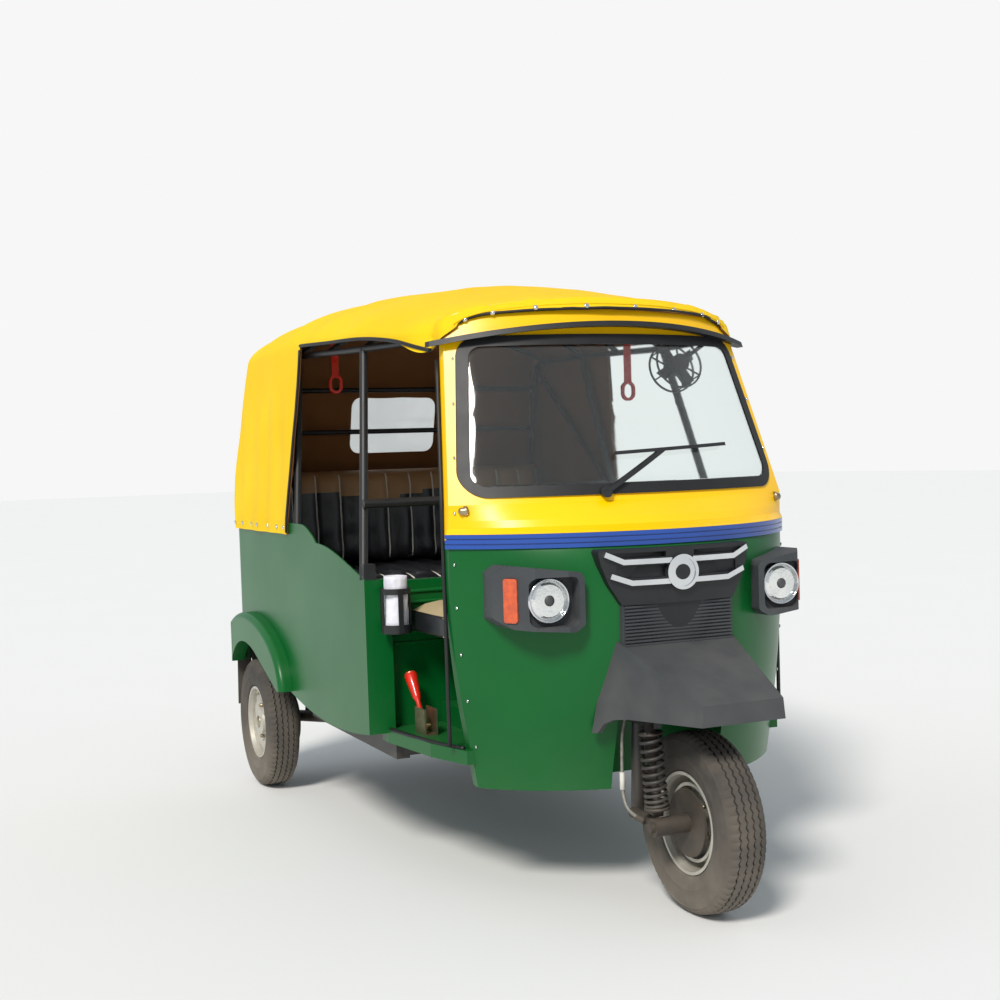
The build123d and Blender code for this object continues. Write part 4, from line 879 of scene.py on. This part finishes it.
painted_shade_sheet(0.662, 0.768, 0.150, 0.150)
painted_shade_sheet(0.775, 0.895, 0.120, 0.185)
grille_shade.done("grille_painted_shade", black_plastic)

# Rubber edge strips of the door opening and the step
edges = Build()
for side in (-1, 1):
    jamb = [(side * (0.506 - max(0.0, z - 1.02) * 0.135), -0.612 + max(0.0, z - 1.02) * 0.34, z)
            for z in np.linspace(0.40, 1.40, 24)]
    edges.tube(jamb, 0.0055, 8)
    step = [(side * 0.470, -0.620, 0.392), (side * 0.508, -0.500, 0.392), (side * 0.541, -0.262, 0.392)]
    edges.tube(curve_through(step, 8), 0.006, 8)
edges.done("door_edge_rubber", seal_rubber)

# Ribbed mat strips on the passenger floor
mat = Build()
for k in range(23):
    x = -0.462 + k * 0.042
    mat.block((x, 0.118, 0.3955), (0.020, 0.560, 0.0034), 0, 0.0012)
mat.done("floor_mat_ribs", floor_rubber)

# Chrome rims and bulb caps on the headlamp lenses
HEADLAMP_X, HEADLAMP_Z = 0.338, 0.785
lamps = Build()
for x in (-HEADLAMP_X, HEADLAMP_X):
    lamps.turned((x, -0.8735, HEADLAMP_Z), (0, -1, 0),
                 [(0.0, 0.0555), (0.004, 0.0565), (0.0075, 0.0545), (0.008, 0.0515), (0.004, 0.0505),
                  (0.0, 0.0505)], 48, closed=True)
lamps.done("headlamp_rims", bright_chrome)
beads = Build()
for x in (-HEADLAMP_X, HEADLAMP_X):
    beads.turned((x, -0.8795, HEADLAMP_Z), (0, -1, 0),
                 [(0.0, 0.014), (0.0035, 0.012), (0.005, 0.007), (0.0055, 0.0006)], 20)
beads.done("headlamp_bulb_caps", grey_metal)

# Centre boss of the grille: a plain disc in its ring
boss = Build()
boss.turned((0, -0.9366, 0.840), (0, -1, 0),
            [(0.0, 0.0355), (0.006, 0.0355), (0.010, 0.031), (0.0118, 0.016), (0.0122, 0.0006)], 40)
boss.done("grille_boss", black_plastic)

# Holder liner, crumpled
centre = Vector((-0.524, -0.290, 0))
rows, around = 16, 40
verts, faces = [], []
for j in range(rows + 1):
    z = 0.670 + 0.152 * j / rows
    for k in range(around):
        angle = 2 * math.pi * k / around
        r = 0.0335 + 0.0035 * noise.noise(Vector((math.cos(angle) * 2.5, math.sin(angle) * 2.5, z * 22))) \
            - 0.006 * (j / rows) * max(0, math.sin(angle * 2 + 1))
        verts.append(centre + Vector((r * math.cos(angle), r * math.sin(angle), z)))
for j in range(rows):
    for k in range(around):
        m = (k + 1) % around
        faces.append([j * around + k, j * around + m, (j + 1) * around + m, (j + 1) * around + k])
faces.append(list(range(around))[::-1])
paper = piece("crumpled_liner", verts, faces, white_paper)
thick = paper.modifiers.new("paper thickness", "SOLIDIFY")
thick.thickness = 0.0012
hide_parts("holder_liner")

# Handbrake knob and rod, over the plain lever
lever = Build()
base, lever_dir = Vector((-0.475, -0.362, 0.400)), Vector((0, 0.62, 0.785)).normalized()
lever.turned(base, lever_dir,
             [(0.0, 0.0065), (0.09, 0.0065), (0.10, 0.0105), (0.104, 0.0115), (0.150, 0.0165),
              (0.172, 0.0185), (0.180, 0.0165), (0.184, 0.009), (0.185, 0.0005)], 24, 0)
lever.done("handbrake_knob", red_plastic)


# Camera at the photograph's place
def camera_axes(azimuth, elevation, roll):
    back = Vector((math.sin(azimuth) * math.cos(elevation), -math.cos(azimuth) * math.cos(elevation),
                   math.sin(elevation)))
    right = Vector((math.cos(azimuth), math.sin(azimuth), 0))
    up = back.cross(right)
    return (right * math.cos(roll) + up * math.sin(roll), up * math.cos(roll) - right * math.sin(roll), back)


lens_data = bpy.data.cameras.new("camera")
camera = bpy.data.objects.new("camera", lens_data)
bpy.context.scene.collection.objects.link(camera)
right, up, back = camera_axes(-0.4147, 0.0463, -0.0323)
eye = Vector((-1.866, -4.0571, 1.1376))
camera.matrix_world = Matrix((*zip(right, up, back, eye), (0, 0, 0, 1)))
lens_data.sensor_width = 36.0
lens_data.lens = 1451.05 / 1000 * 36.0
lens_data.shift_x = (500 - 498.47) / 1000
lens_data.shift_y = (524.93 - 500) / 1000
lens_data.clip_end = 200
bpy.context.scene.camera = camera

# Pale floor and soft studio light
floor_data = bpy.data.meshes.new("studio_floor")
floor_data.from_pydata([(-40, -40, -0.001), (40, -40, -0.001), (40, 60, -0.001), (-40, 60, -0.001)], [],
                       [(0, 1, 2, 3)])
floor = bpy.data.objects.new("studio_floor", floor_data)
bpy.context.scene.collection.objects.link(floor)
floor_data.materials.append(finish_material("pale floor", (0.78, 0.78, 0.77, 1), (0.74, 0.74, 0.73, 1),
                                            0.8, (1.0, 0.2), (30.0, 0.0002)))

world = bpy.data.worlds.new("studio")
bpy.context.scene.world = world
world.use_nodes = True
sky = world.node_tree
ground = sky.nodes["Background"]
ground.inputs["Color"].default_value = (0.86, 0.93, 1.0, 1)
ground.inputs["Strength"].default_value = 0.60
shown = sky.nodes.new("ShaderNodeBackground")
shown.inputs["Color"].default_value = (0.93, 0.93, 0.93, 1)
path = sky.nodes.new("ShaderNodeLightPath")
choose = sky.nodes.new("ShaderNodeMixShader")
sky.links.new(maths(sky, "MAXIMUM", path.outputs["Is Camera Ray"], path.outputs["Is Transmission Ray"]),
              choose.inputs["Fac"])
sky.links.new(ground.outputs[0], choose.inputs[1])
sky.links.new(shown.outputs[0], choose.inputs[2])
sky.links.new(choose.outputs[0], sky.nodes["World Output"].inputs["Surface"])

sun_data = bpy.data.lights.new("key", "SUN")
sun_data.energy = 3.0
sun_data.angle = math.radians(14)
sun_data.color = (1.0, 0.96, 0.90)
key = bpy.data.objects.new("key", sun_data)
key.rotation_mode = "QUATERNION"
key.rotation_quaternion = Vector((-0.52, -0.52, 0.68)).to_track_quat("Z", "Y")
bpy.context.scene.collection.objects.link(key)

bpy.context.scene.view_settings.view_transform = "Standard"
